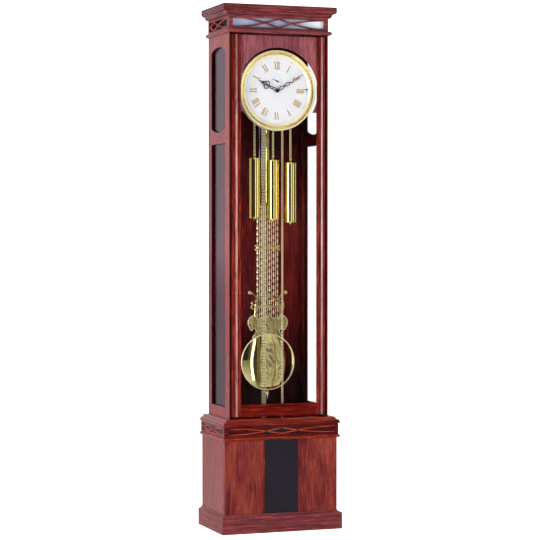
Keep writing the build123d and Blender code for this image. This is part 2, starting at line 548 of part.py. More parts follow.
with BuildPart() as bob_turned:
    cap_h = 14.0
    cap_r = (BOB_R ** 2 + cap_h ** 2) / (2 * cap_h)
    pts = [(0, 22.0), (BOB_R, 22.0), (BOB_R, 20.0)]
    for i in range(1, 17):
        r = (BOB_R - 2) * (1 - i / 16)
        pts.append((r, 20.0 - (math.sqrt(cap_r ** 2 - r ** 2) - (cap_r - cap_h))))
    with BuildSketch(Plane.XY):
        Polygon(*pts, align=None)
    revolve(axis=Axis.Y)
with BuildPart() as pendulum_bob:
    with Locations((0, 0, BOB_Z)):
        add(bob_turned.part)
save(pendulum_bob, "pendulum_bob")

with BuildPart() as rating_nut:
    rod_z(0, ROD_Y, 7, 523, 531)
    rod_z(0, ROD_Y, 4.5, 531, 534)
    rod_z(0, ROD_Y, ROD_R, 500, 560, Mode.SUBTRACT)
save(rating_nut, "rating_nut")
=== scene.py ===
import math

import bmesh
import bpy
from mathutils import Matrix, Vector
from mathutils.geometry import tessellate_polygon


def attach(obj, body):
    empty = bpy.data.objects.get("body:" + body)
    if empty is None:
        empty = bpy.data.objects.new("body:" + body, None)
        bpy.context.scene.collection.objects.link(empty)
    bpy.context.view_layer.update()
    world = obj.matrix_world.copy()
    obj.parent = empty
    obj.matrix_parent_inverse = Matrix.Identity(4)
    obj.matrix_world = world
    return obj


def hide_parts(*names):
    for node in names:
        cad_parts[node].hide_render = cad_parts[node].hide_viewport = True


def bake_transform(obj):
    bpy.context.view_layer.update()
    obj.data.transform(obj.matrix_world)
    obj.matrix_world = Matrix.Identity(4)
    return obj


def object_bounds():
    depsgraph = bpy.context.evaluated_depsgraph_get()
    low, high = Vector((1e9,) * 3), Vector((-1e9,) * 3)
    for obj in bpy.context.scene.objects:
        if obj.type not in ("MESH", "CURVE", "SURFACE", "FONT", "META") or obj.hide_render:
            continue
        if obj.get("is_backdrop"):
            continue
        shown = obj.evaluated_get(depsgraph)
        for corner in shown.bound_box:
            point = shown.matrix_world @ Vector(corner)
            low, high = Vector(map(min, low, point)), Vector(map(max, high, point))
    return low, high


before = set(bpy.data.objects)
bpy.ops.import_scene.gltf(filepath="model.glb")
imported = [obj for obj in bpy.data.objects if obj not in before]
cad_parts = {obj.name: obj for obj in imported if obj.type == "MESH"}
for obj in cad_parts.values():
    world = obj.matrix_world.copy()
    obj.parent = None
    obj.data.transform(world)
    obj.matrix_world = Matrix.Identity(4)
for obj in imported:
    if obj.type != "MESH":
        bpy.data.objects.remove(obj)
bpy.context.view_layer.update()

# Everything below is written in millimetres in the part's frame and scaled once, in make().
MM = 0.001
BACK = 152.5

# ------------------------------------------------------------------ materials


class Mat:
    """A material with a few short ways to add and join nodes."""

    def __init__(self, name):
        self.mat = bpy.data.materials.new(name)
        self.mat.use_nodes = True
        self.nt = self.mat.node_tree
        self.nt.nodes.clear()
        self.out = self.nt.nodes.new("ShaderNodeOutputMaterial")

    def node(self, kind, **props):
        n = self.nt.nodes.new(kind)
        for k, v in props.items():
            setattr(n, k, v)
        return n

    def put(self, socket, value):
        if isinstance(value, bpy.types.NodeSocket):
            self.nt.links.new(value, socket)
        else:
            socket.default_value = value

    def coords(self, scale=(1, 1, 1), shift=(0, 0, 0), turn=(0, 0, 0)):
        tc = self.node("ShaderNodeTexCoord")
        mp = self.node("ShaderNodeMapping")
        self.put(mp.inputs["Vector"], tc.outputs["Object"])
        self.put(mp.inputs["Scale"], scale)
        self.put(mp.inputs["Location"], shift)
        self.put(mp.inputs["Rotation"], turn)
        return mp.outputs["Vector"]

    def slant(self, turn, scale, shift=(0, 0, 0)):
        """Object coordinates turned about the depth axis first and stretched after that."""
        tc = self.node("ShaderNodeTexCoord")
        first = self.node("ShaderNodeMapping")
        self.put(first.inputs["Vector"], tc.outputs["Object"])
        self.put(first.inputs["Rotation"], (0.0, math.radians(turn), 0.0))
        then = self.node("ShaderNodeMapping")
        self.put(then.inputs["Vector"], first.outputs["Vector"])
        self.put(then.inputs["Scale"], scale)
        self.put(then.inputs["Location"], shift)
        return then.outputs["Vector"]

    def noise(self, vec, scale, detail=3.0, rough=0.55, distortion=0.0):
        n = self.node("ShaderNodeTexNoise")
        self.put(n.inputs["Vector"], vec)
        self.put(n.inputs["Scale"], scale)
        self.put(n.inputs["Detail"], detail)
        self.put(n.inputs["Roughness"], rough)
        self.put(n.inputs["Distortion"], distortion)
        return n.outputs["Fac"]

    def math(self, op, a, b=0.0, c=0.0, clamp=False):
        n = self.node("ShaderNodeMath", operation=op, use_clamp=clamp)
        self.put(n.inputs[0], a)
        self.put(n.inputs[1], b)
        if len(n.inputs) > 2:
            self.put(n.inputs[2], c)
        return n.outputs[0]

    def span(self, fac, lo, hi, to_lo=0.0, to_hi=1.0, smooth=True):
        n = self.node("ShaderNodeMapRange", interpolation_type="SMOOTHSTEP" if smooth else "LINEAR")
        self.put(n.inputs["Value"], fac)
        self.put(n.inputs["From Min"], lo)
        self.put(n.inputs["From Max"], hi)
        self.put(n.inputs["To Min"], to_lo)
        self.put(n.inputs["To Max"], to_hi)
        return n.outputs["Result"]

    def mix(self, fac, a, b, kind="MIX"):
        n = self.node("ShaderNodeMix", data_type="RGBA", blend_type=kind)
        self.put(n.inputs[0], fac)
        self.put(n.inputs[6], a)
        self.put(n.inputs[7], b)
        return n.outputs[2]

    def bump(self, height, strength, distance):
        n = self.node("ShaderNodeBump")
        self.put(n.inputs["Height"], height)
        self.put(n.inputs["Strength"], strength)
        self.put(n.inputs["Distance"], distance)
        return n.outputs["Normal"]

    def principled(self, **sockets):
        n = self.node("ShaderNodeBsdfPrincipled")
        for k, v in sockets.items():
            self.put(n.inputs[k.replace("_", " ")], v)
        self.nt.links.new(n.outputs[0], self.out.inputs["Surface"])
        return n


def rgb(r, g, b):
    return (r, g, b, 1.0)


def wood(name, axis, seed, dark, mid, light, figure=0.0, rough=0.22, coat=0.04, coat_rough=0.06, contrast=1.0, painted_shade_z=None, spec=0.12):
    """Stained and lacquered mahogany, grain along one axis. Streaks, fine fibres and open pores are all
    stretched along the grain; figure adds the patchy glow of a figured veneer."""
    m = Mat(name)
    along = "xyz".index(axis)
    s = [1.0, 1.0, 1.0]
    s[along] = 0.075
    shift = (0.37 * seed, 0.73 * seed, 0.19 * seed)
    v = m.coords(tuple(s), shift)
    sp = [1.0, 1.0, 1.0]
    sp[along] = 0.035
    vp = m.coords(tuple(sp), shift)
    broad = m.noise(v, 10.0, 3.0, 0.5, 0.4)
    streaks = m.noise(v, 150.0, 5.0, 0.62, 0.6)
    fine = m.noise(v, 620.0, 3.0, 0.6)
    pores = m.noise(vp, 1300.0, 2.0, 0.5)
    tone = m.math("MULTIPLY_ADD", broad, 0.35, m.math("MULTIPLY", streaks, 0.90))
    lo = 0.625
    c = m.mix(m.span(tone, lo - 0.17 / contrast, lo + 0.015), dark, mid)
    c = m.mix(m.span(tone, lo, lo + 0.15 / contrast), c, light)
    if figure:
        sf = [1.0, 1.0, 1.0]
        sf[along] = 0.45
        vf = m.coords(tuple(sf), (shift[2], shift[0], shift[1]))
        patch = m.noise(vf, 8.5, 4.0, 0.52, 0.7)
        sl = [1.0, 1.0, 1.0]
        sl[along] = 0.22
        fleck = m.noise(m.coords(tuple(sl), shift), 520.0, 4.0, 0.72, 0.4)
        glow = m.math("MULTIPLY", m.span(patch, 0.42, 0.64), m.span(fleck, 0.20, 0.70))
        c = m.mix(m.math("MULTIPLY", glow, figure), c, rgb(light[0] * 1.25, light[1] * 1.7, light[2] * 1.2))
        murk = m.math("MULTIPLY", m.span(patch, 0.52, 0.34), m.span(fleck, 0.75, 0.40))
        c = m.mix(m.math("MULTIPLY", murk, figure * 0.8), c, rgb(dark[0] * 0.9, dark[1] * 1.2, dark[2] * 1.6))
    shade = m.span(fine, 0.30, 0.70, 0.78, 1.14)
    c = m.mix(1.0, c, shade, "MULTIPLY")
    pore = m.span(pores, 0.60, 0.70)
    c = m.mix(m.math("MULTIPLY", pore, 0.5), c, rgb(dark[0] * 0.40, dark[1] * 0.5, dark[2] * 0.6))
    # painted light and shade by height: the colour is scaled by a factor that rises from the bottom factor and falls to
    # the top factor; faces turned to +Y keep at least 0.75 of the colour
    if painted_shade_z:
        tc = m.node("ShaderNodeTexCoord")
        sep = m.node("ShaderNodeSeparateXYZ")
        m.put(sep.inputs[0], tc.outputs["Object"])
        painted_falloff = m.math("MULTIPLY", m.span(sep.outputs["Z"], painted_shade_z[0], painted_shade_z[1], painted_shade_z[4], 1.0), m.span(sep.outputs["Z"], painted_shade_z[2], painted_shade_z[3], 1.0, painted_shade_z[5]))
        face = m.node("ShaderNodeSeparateXYZ")
        m.put(face.inputs[0], tc.outputs["Normal"])
        painted_falloff = m.math("MAXIMUM", painted_falloff, m.math("MULTIPLY", m.math("GREATER_THAN", face.outputs["Y"], 0.5), 0.75))
        c = m.mix(1.0, c, painted_falloff, "MULTIPLY")
    height = m.math("SUBTRACT", m.math("MULTIPLY", fine, 0.25), m.math("MULTIPLY", pore, 0.5))
    wave = m.noise(m.coords(tuple(0.35 if i == along else 1.0 for i in range(3)), shift), 7.0, 1.0)
    height = m.math("ADD", height, m.math("MULTIPLY", wave, 2.0))
    m.principled(
        Base_Color=c,
        Roughness=m.span(streaks, 0.3, 0.7, rough - 0.05, rough + 0.07),
        Specular_IOR_Level=spec,
        Coat_Weight=coat,
        Coat_Roughness=coat_rough,
        Coat_IOR=1.5,
        Normal=m.bump(height, 0.15, 0.0006),
    )
    return m.mat


TONES = {
    # dark, middle, light, figure, contrast, mirror
    "red": (rgb(0.040, 0.0030, 0.0018), rgb(0.138, 0.0095, 0.0045), rgb(0.290, 0.0300, 0.0130), 0.0, 1.0, 0.12),
    "figure": (rgb(0.066, 0.0070, 0.0090), rgb(0.160, 0.0180, 0.0175), rgb(0.265, 0.0370, 0.0250), 0.52, 1.0, 0.12),
    "inside": (rgb(0.028, 0.0018, 0.0022), rgb(0.098, 0.0060, 0.0062), rgb(0.210, 0.0160, 0.0130), 0.30, 1.0, 0.04),
    "side": (rgb(0.090, 0.0056, 0.0050), rgb(0.192, 0.0130, 0.0110), rgb(0.310, 0.0300, 0.0220), 0.0, 0.8, 0.24),
    # head: the tone is partly the wood and partly painted reflection, a bluish veil from the door glass in front of it
    "head": (rgb(0.140, 0.0370, 0.0480), rgb(0.240, 0.0620, 0.0780), rgb(0.360, 0.1020, 0.1040), 0.0, 0.8, 0.12),
    "top": (rgb(0.060, 0.0200, 0.0260), rgb(0.140, 0.0270, 0.0320), rgb(0.280, 0.0560, 0.0480), 0.0, 1.1, 0.22),
    "crown": (rgb(0.038, 0.0095, 0.0130), rgb(0.090, 0.0140, 0.0175), rgb(0.205, 0.0340, 0.0320), 0.0, 1.1, 0.20),
    "rail": (rgb(0.040, 0.0020, 0.0012), rgb(0.112, 0.0042, 0.0020), rgb(0.230, 0.0140, 0.0070), 0.0, 1.0, 0.05),
    "band": (rgb(0.034, 0.0026, 0.0022), rgb(0.088, 0.0070, 0.0056), rgb(0.180, 0.0150, 0.0110), 0.0, 1.0, 0.05),
    "low": (rgb(0.060, 0.0090, 0.0090), rgb(0.140, 0.0190, 0.0180), rgb(0.250, 0.0420, 0.0360), 0.0, 0.9, 0.25),
    "lattice": (rgb(0.125, 0.0115, 0.0085), rgb(0.280, 0.0310, 0.0180), rgb(0.430, 0.0640, 0.0300), 0.0, 0.9, 0.2),
    "plinth": (rgb(0.060, 0.0170, 0.0220), rgb(0.140, 0.0240, 0.0280), rgb(0.270, 0.0480, 0.0420), 0.0, 1.0, 0.15),
    # bead and bead_right: pale pink tones that paint the highlight of the door beads into the colour; the right one
    # paints a brighter, pinker highlight
    "bead": (rgb(0.230, 0.0620, 0.0540), rgb(0.430, 0.1500, 0.1350), rgb(0.580, 0.2700, 0.2450), 0.0, 0.9, 0.6),
    "bead_right": (rgb(0.300, 0.1200, 0.1300), rgb(0.520, 0.3000, 0.3350), rgb(0.640, 0.4500, 0.4900), 0.0, 0.8, 0.6),
    # ground: near-black red, used as painted shade in recesses and on the dark front edges of the trunk sides
    "ground": (rgb(0.018, 0.0026, 0.0026), rgb(0.050, 0.0060, 0.0056), rgb(0.100, 0.0130, 0.0100), 0.0, 1.0, 0.05),
    "shadow": (rgb(0.006, 0.0012, 0.0014), rgb(0.016, 0.0022, 0.0024), rgb(0.034, 0.0040, 0.0036), 0.0, 1.0, 0.03),
}
# painted shade and highlight by height: (rise from, rise to, fall from, fall to, bottom factor, top factor); 'inside'
# paints shade at the top and the bottom of the case, and the bead tones fade their painted highlight towards the top
PAINTED_SHADE_BY_HEIGHT = {"inside": (0.50, 0.98, 1.14, 1.58, 0.09, 0.24), "bead": (0.40, 0.62, 1.50, 1.85, 0.85, 0.45),
          "bead_right": (0.45, 1.15, 1.60, 1.88, 0.42, 0.45)}
_woods = {}


def mahogany(axis, seed, kind="red"):
    key = (axis, seed, kind)
    if key not in _woods:
        dark, mid, light, figure, contrast, spec = TONES[kind]
        _woods[key] = wood("wood_%s_%s_%d" % (kind, axis, seed), axis, seed, dark, mid, light, figure, contrast=contrast, spec=spec,
                           rough=0.30 if "bead" in kind else 0.22, coat={"bead": 0.30, "bead_right": 0.30, "side": 0.68}.get(kind, 0.04),
                           painted_shade_z=PAINTED_SHADE_BY_HEIGHT.get(kind))
    return _woods[key]


def brass(name, colour, rough, grain=None, depth=0.05, tarnish=0.25, coat=0.0, metallic=1.0):
    """Brass with a faint uneven polish; grain stretches the polishing lines along one axis."""
    m = Mat(name)
    scale = [1.0, 1.0, 1.0]
    if grain is not None:
        scale["xyz".index(grain)] = 0.02
    v = m.coords(tuple(scale))
    soft = m.noise(m.coords(), 26.0, 3.0, 0.6)
    lines = m.noise(v, 900.0, 3.0, 0.6)
    c = m.mix(m.math("MULTIPLY", m.span(soft, 0.45, 0.75), tarnish), colour,
              rgb(colour[0] * 0.80, colour[1] * 0.66, colour[2] * 0.42))
    c = m.mix(m.span(lines, 0.35, 0.8, 0.0, 0.25), c, rgb(colour[0] * 0.7, colour[1] * 0.62, colour[2] * 0.45))
    m.principled(
        Base_Color=c,
        Metallic=metallic,
        Roughness=m.span(m.math("ADD", m.math("MULTIPLY", soft, 0.5), m.math("MULTIPLY", lines, 0.5)), 0.3, 0.7, rough * 0.75, rough * 1.35),
        Normal=m.bump(lines, depth, 0.0002),
        Coat_Weight=coat,
        Coat_Roughness=0.05,
    )
    return m.mat


GOLD = rgb(0.870, 0.705, 0.270)
polished = brass("brass_polished", GOLD, 0.045, None, 0.0, 0.12)
polished_round = brass("brass_turned", rgb(0.860, 0.680, 0.240), 0.08, None, 0.0, 0.12)
bezel_brass = brass("brass_bezel", rgb(0.960, 0.720, 0.270), 0.24, None, 0.0, 0.08, metallic=0.85)
weight_brass = brass("brass_weight", rgb(0.890, 0.720, 0.190), 0.045, None, 0.0, 0.10)
strip_brass = brass("brass_strip", rgb(0.960, 0.850, 0.500), 0.30, None, 0.0, 0.10)
# chain links: pale, almost non-metallic brass, partly brass colour and partly painted highlight
chain_brass = brass("brass_chain", rgb(1.0, 0.915, 0.560), 0.32, None, 0.0, 0.04, metallic=0.12)
# every other link is darker: painted shade of the links seen edge-on
chain_shade = brass("brass_chain_shaded_link", rgb(0.420, 0.300, 0.110), 0.32, None, 0.0, 0.20, metallic=0.4)
# door pivots: nearly black, painted shade of the gaps above and below the door
pin_painted_shade = brass("brass_pin_painted_shade", rgb(0.055, 0.036, 0.018), 0.40, "z", 0.1, 0.4)
# pale brass for the bezel's outer rim and inner slope: partly brass colour, partly painted highlight
pale_brass = brass("brass_pale", rgb(0.960, 0.870, 0.590), 0.34, None, 0.0, 0.05, metallic=0.5)
plate_brass = brass("brass_plate", rgb(0.62, 0.45, 0.17), 0.30, "z", 0.15, 0.4)


def engraved_brass():
    """Polished brass plate with faint diagonal brush strokes."""
    m = Mat("brass_chased")
    v = m.slant(35, (1.0, 1.0, 0.06))
    strokes = m.noise(v, 420.0, 4.0, 0.65, 0.3)
    cloud = m.noise(m.coords(), 55.0, 4.0, 0.7, 1.4)
    c = m.mix(m.span(strokes, 0.35, 0.68), rgb(0.74, 0.60, 0.24), rgb(0.93, 0.79, 0.36))
    c = m.mix(m.span(cloud, 0.47, 0.56, 0.0, 0.30), c, rgb(0.62, 0.50, 0.20))
    cut = m.noise(m.slant(38, (1.0, 1.0, 0.16), (0.3, 0, 0.2)), 130.0, 4.0, 0.7, 0.5)
    c = m.mix(m.span(cut, 0.53, 0.59, 0.0, 0.90), c, rgb(0.20, 0.16, 0.07))
    m.principled(
        Base_Color=c, Metallic=1.0,
        Roughness=m.span(strokes, 0.3, 0.7, 0.05, 0.13),
        Normal=m.bump(strokes, 0.04, 0.0002),
    )
    return m.mat


chased = engraved_brass()


def clear_glass(name, tint, sheen=1.0, straight=0.04):
    """A thin clear pane: what is behind shows through, and the pane adds a mirror reflection that grows at a slant."""
    m = Mat(name)
    smear = m.noise(m.coords((1.0, 1.0, 0.5)), 9.0, 3.0, 0.6, 0.8)
    clear = m.node("ShaderNodeBsdfTransparent")
    m.put(clear.inputs["Color"], m.mix(m.span(smear, 0.3, 0.8), rgb(*tint), rgb(*(t * 0.985 for t in tint))))
    gloss = m.node("ShaderNodeBsdfGlossy")
    m.put(gloss.inputs["Color"], rgb(*sheen) if isinstance(sheen, tuple) else rgb(sheen, sheen, sheen))
    m.put(gloss.inputs["Roughness"], m.span(smear, 0.35, 0.75, 0.0, 0.02))
    slant = m.node("ShaderNodeLayerWeight")
    slant.inputs["Blend"].default_value = 0.5
    rise = m.math("POWER", slant.outputs["Facing"], 5.0)
    join = m.node("ShaderNodeMixShader")
    m.put(join.inputs[0], m.math("MULTIPLY_ADD", rise, 1.0 - straight, straight))
    m.nt.links.new(clear.outputs[0], join.inputs[1])
    m.nt.links.new(gloss.outputs[0], join.inputs[2])
    m.nt.links.new(join.outputs[0], m.out.inputs["Surface"])
    return m.mat


glass_front = clear_glass("glass_door", (0.99, 0.99, 0.99), 1.0, 0.0035)
glass_side = clear_glass("glass_side", (0.95, 0.95, 0.965), (1.0, 0.76, 0.85), 0.085)


def satin_pane():
    """The strip of satin glass behind the fretwork of the hood. Its colour is partly the glass and partly painted light
    from behind, and its right end is painted lighter.
    """
    m = Mat("glass_satin")
    v = m.coords((1.0, 1.0, 0.08))
    brush = m.noise(m.coords((0.05, 1.0, 1.0)), 420.0, 4.0, 0.65)
    cloud = m.noise(m.coords((0.5, 1, 1)), 9.0, 3.0, 0.6)
    c = m.mix(m.span(cloud, 0.35, 0.7), rgb(0.300, 0.345, 0.490), rgb(0.390, 0.435, 0.590))
    c = m.mix(m.span(brush, 0.45, 0.8, 0.0, 0.3), c, rgb(0.52, 0.56, 0.66))
    # painted light: the pane turns near white towards its right end
    tc = m.node("ShaderNodeTexCoord")
    sep = m.node("ShaderNodeSeparateXYZ")
    m.put(sep.inputs[0], tc.outputs["Object"])
    c = m.mix(m.span(sep.outputs["X"], 0.02, 0.19, 0.0, 0.85), c, rgb(0.86, 0.93, 0.97))
    m.principled(Base_Color=c, Roughness=m.span(brush, 0.3, 0.7, 0.24, 0.36), Specular_IOR_Level=0.4,
                 Normal=m.bump(brush, 0.05, 0.0003), Coat_Weight=0.2, Coat_Roughness=0.1)
    return m.mat


def black_gloss(name, base, rough, fleck=0.6):
    m = Mat(name)
    v = m.coords((1.0, 1.0, 0.12))
    fibre = m.noise(v, 150.0, 4.0, 0.6)
    cloud = m.noise(m.coords(), 8.0, 4.0, 0.65, 0.5)
    c = m.mix(m.span(fibre, 0.35, 0.75), rgb(*base), rgb(*(b * (1 + fleck) for b in base)))
    c = m.mix(m.span(cloud, 0.4, 0.75, 0.0, 0.5), c, rgb(base[0] * 1.7, base[1] * 1.4, base[2] * 1.9))
    m.principled(Base_Color=c, Roughness=m.span(cloud, 0.3, 0.7, rough * 0.8, rough * 1.25), Specular_IOR_Level=0.28,
                 Normal=m.bump(fibre, 0.06, 0.0003), Coat_Weight=0.2, Coat_Roughness=0.10)
    return m.mat


black_panel = black_gloss("lacquer_black", (0.0068, 0.0042, 0.0080), 0.22)
hand_black = black_gloss("hands_black", (0.010, 0.010, 0.012), 0.26, 0.3)


def enamel():
    m = Mat("dial_enamel")
    grain = m.noise(m.coords(), 700.0, 3.0, 0.6)
    cloud = m.noise(m.coords(), 14.0, 3.0, 0.5)
    c = m.mix(m.span(cloud, 0.3, 0.7), rgb(0.685, 0.678, 0.692), rgb(0.720, 0.713, 0.724))
    c = m.mix(m.span(grain, 0.5, 0.8, 0.0, 0.3), c, rgb(0.72, 0.72, 0.735))
    m.principled(Base_Color=c, Roughness=m.span(grain, 0.3, 0.7, 0.32, 0.42), Normal=m.bump(grain, 0.03, 0.0001))
    return m.mat


def print_ink(name, a, b, metallic, rough):
    m = Mat(name)
    grain = m.noise(m.coords(), 1200.0, 2.0, 0.6)
    cloud = m.noise(m.coords(), 90.0, 2.0, 0.6)
    c = m.mix(m.span(m.math("ADD", m.math("MULTIPLY", grain, 0.4), m.math("MULTIPLY", cloud, 0.6)), 0.35, 0.65), rgb(*a), rgb(*b))
    m.principled(Base_Color=c, Metallic=metallic, Roughness=m.span(grain, 0.3, 0.7, rough * 0.8, rough * 1.2))
    return m.mat


enamel_white = enamel()
numeral_gold = print_ink("numeral_gold", (0.360, 0.205, 0.028), (0.480, 0.290, 0.046), 0.10, 0.45)
track_grey = print_ink("track_grey", (0.30, 0.27, 0.33), (0.38, 0.34, 0.41), 0.0, 0.5)
medallion = print_ink("medallion_pale", (0.56, 0.57, 0.63), (0.63, 0.63, 0.68), 0.0, 0.35)


def steel():
    m = Mat("steel_blued")
    lines = m.noise(m.coords((1, 1, 0.02)), 700.0, 3.0, 0.6)
    c = m.mix(m.span(lines, 0.35, 0.7), rgb(0.10, 0.135, 0.17), rgb(0.20, 0.25, 0.30))
    m.principled(Base_Color=c, Metallic=1.0, Roughness=m.span(lines, 0.3, 0.7, 0.20, 0.34), Normal=m.bump(lines, 0.1, 0.0002))
    return m.mat


steel_blue = steel()


def iron():
    m = Mat("iron_block")
    grain = m.noise(m.coords(), 260.0, 4.0, 0.6)
    c = m.mix(m.span(grain, 0.3, 0.7), rgb(0.030, 0.030, 0.032), rgb(0.055, 0.055, 0.060))
    m.principled(Base_Color=c, Roughness=m.span(grain, 0.3, 0.7, 0.5, 0.7), Normal=m.bump(grain, 0.3, 0.0006))
    return m.mat


iron_dark = iron()

# ------------------------------------------------------------------ mesh helpers


class Parts:
    """Collects several closed solids that make one piece."""

    def __init__(self):
        self.v, self.f, self.m = [], [], []

    def add(self, verts, faces, mat=0):
        base = len(self.v)
        self.v.extend(verts)
        self.f.extend(tuple(i + base for i in f) for f in faces)
        self.m.extend(mat if isinstance(mat, list) else [mat] * len(faces))
        return range(base, base + len(verts))


def make(name, parts, mats, body="case", angle=42, nodes=(), weighted=True):
    me = bpy.data.meshes.new(name)
    me.from_pydata([(x * MM, y * MM, z * MM) for x, y, z in parts.v], [], parts.f)
    for p, i in zip(me.polygons, parts.m):
        p.material_index = i
    bm = bmesh.new()
    bm.from_mesh(me)
    bmesh.ops.recalc_face_normals(bm, faces=bm.faces)
    bm.to_mesh(me)
    bm.free()
    for mat in mats if isinstance(mats, (list, tuple)) else [mats]:
        me.materials.append(mat)
    me.shade_smooth()
    me.set_sharp_from_angle(angle=math.radians(angle))
    o = bpy.data.objects.new(name, me)
    bpy.context.scene.collection.objects.link(o)
    if weighted:
        wn = o.modifiers.new("normals", "WEIGHTED_NORMAL")
        wn.keep_sharp = True
        wn.weight = 60
    if body:
        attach(o, body)
    if nodes:
        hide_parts(*nodes)
    return o


def finish_node(node, mats):
    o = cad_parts[node]
    o.data.materials.clear()
    for mat in mats if isinstance(mats, (list, tuple)) else [mats]:
        o.data.materials.append(mat)
    return o


XZ = lambda u, v, a: (u, a, v)
YZ = lambda u, v, a: (a, u, v)
XY = lambda u, v, a: (u, v, a)


def area(loop):
    return 0.5 * sum(a[0] * b[1] - b[0] * a[1] for a, b in zip(loop, loop[1:] + loop[:1]))


def inset(loop, d):
    """The loop moved to its left by d, with mitred corners."""
    n = len(loop)
    out = []
    for i in range(n):
        p0, p1, p2 = loop[i - 1], loop[i], loop[(i + 1) % n]
        e1 = Vector((p1[0] - p0[0], p1[1] - p0[1])).normalized()
        e2 = Vector((p2[0] - p1[0], p2[1] - p1[1])).normalized()
        n1, n2 = Vector((-e1.y, e1.x)), Vector((-e2.y, e2.x))
        b = n1 + n2
        if b.length < 1e-6:
            b = n1
        b.normalize()
        k = min(1.0 / max(b.dot(n1), 0.35), 2.5)
        out.append((p1[0] + b.x * d * k, p1[1] + b.y * d * k))
    return out


def plate(parts, loops, to3d, a0, a1, r0=0.0, r1=0.0, seg=3, mat=0, rim=None, holes=None):
    """A plate of the first loop with the other loops cut out, from a0 to a1, edges rounded by r0 and r1."""
    rim = mat if rim is None else rim
    sgn = 1 if a1 > a0 else -1
    loops = [lp if area(lp) > 0 else lp[::-1] for lp in loops[:1]] + [lp if area(lp) < 0 else lp[::-1] for lp in loops[1:]]
    rings = []
    if r0:
        for i in range(seg + 1):
            t = math.pi / 2 * i / seg
            rings.append((r0 * (1 - math.sin(t)), a0 + sgn * r0 * (1 - math.cos(t))))
    else:
        rings.append((0.0, a0))
    if r1:
        for i in range(seg + 1):
            t = math.pi / 2 * i / seg
            rings.append((r1 * (1 - math.cos(t)), a1 - sgn * r1 * (1 - math.sin(t))))
    else:
        rings.append((0.0, a1))
    verts, faces, mats = [], [], []
    first, last = [], []
    for which, lp in enumerate(loops):
        n = len(lp)
        start = len(verts)
        for k, (d, a) in enumerate(rings):
            pts = inset(lp, d) if d else lp
            verts.extend(to3d(u, v, a) for u, v in pts)
        for k in range(len(rings) - 1):
            for i in range(n):
                j = (i + 1) % n
                faces.append((start + k * n + i, start + k * n + j, start + (k + 1) * n + j, start + (k + 1) * n + i))
                mats.append(holes if which and holes is not None else rim)
        first.append((start, n, rings[0][0], lp))
        last.append((start + (len(rings) - 1) * n, n, rings[-1][0], lp))
    for group in (first, last):
        idx, polys = [], []
        for start, n, d, lp in group:
            idx.extend(range(start, start + n))
            polys.append([Vector((u, v, 0.0)) for u, v in (inset(lp, d) if d else lp)])
        for t in tessellate_polygon(polys):
            faces.append(tuple(idx[i] for i in t))
            mats.append(mat)
    parts.add(verts, faces, mats)


def rect(u0, u1, v0, v1):
    return [(u0, v0), (u1, v0), (u1, v1), (u0, v1)]


def circle(cu, cv, r, n=64):
    return [(cu + r * math.cos(math.tau * i / n), cv + r * math.sin(math.tau * i / n)) for i in range(n)]


def box(parts, x0, x1, y0, y1, z0, z1, r=0.8, seg=2, mat=0):
    bm = bmesh.new()
    bmesh.ops.create_cube(bm, size=1.0)
    for v in bm.verts:
        v.co = Vector(((x0 + x1) / 2 + v.co.x * (x1 - x0), (y0 + y1) / 2 + v.co.y * (y1 - y0), (z0 + z1) / 2 + v.co.z * (z1 - z0)))
    if r:
        bmesh.ops.bevel(bm, geom=list(bm.edges), offset=r, segments=seg, profile=0.5, affect="EDGES")
    bm.verts.index_update()
    parts.add([tuple(v.co) for v in bm.verts], [tuple(v.index for v in f.verts) for f in bm.faces], mat)
    bm.free()


def surround(parts, prof, mat_front=0, mat_side=1):
    """A moulding mitred round the front and both sides. prof: a closed ring of (half width, front y, z)."""
    n = len(prof)
    stations = [
        [(-w, BACK, z) for w, f, z in prof], [(-w, f, z) for w, f, z in prof],
        [(w, f, z) for w, f, z in prof], [(w, BACK, z) for w, f, z in prof],
    ]
    verts = [p for s in stations for p in s]
    faces, mats = [], []
    for k in range(3):
        for i in range(n):
            j = (i + 1) % n
            faces.append((k * n + i, k * n + j, (k + 1) * n + j, (k + 1) * n + i))
            mats.append(mat_front if k == 1 else mat_side)
    for base in (0, 3 * n):
        for t in tessellate_polygon([[Vector((w, z, 0)) for w, f, z in prof]]):
            faces.append(tuple(base + i for i in t))
            mats.append(mat_side)
    parts.add(verts, faces, mats)


def lathe(parts, prof, centre, axis="y", seg=96, closed=False, mat=0):
    """prof: (radius, distance along the axis). Open profiles start and end on the axis or are closed by a cap."""
    cx, cy, cz = centre
    verts, faces = [], []
    rows = []
    for r, a in prof:
        if r < 1e-6:
            rows.append([len(verts)])
            verts.append((cx, cy + a, cz) if axis == "y" else (cx, cy, cz + a))
            continue
        row = []
        for i in range(seg):
            t = math.tau * i / seg
            c, s = r * math.cos(t), r * math.sin(t)
            row.append(len(verts))
            verts.append((cx + c, cy + a, cz + s) if axis == "y" else (cx + c, cy + s, cz + a))
        rows.append(row)
    pairs = list(zip(rows, rows[1:])) + ([(rows[-1], rows[0])] if closed else [])
    for p, q in pairs:
        for i in range(seg):
            j = (i + 1) % seg
            if len(p) == 1 and len(q) == 1:
                continue
            if len(p) == 1:
                faces.append((p[0], q[i], q[j]))
            elif len(q) == 1:
                faces.append((p[i], p[j], q[0]))
            else:
                faces.append((p[i], p[j], q[j], q[i]))
    if not closed:
        for row in (rows[0], rows[-1]):
            if len(row) > 1:
                faces.append(tuple(row))
    parts.add(verts, faces, mat)


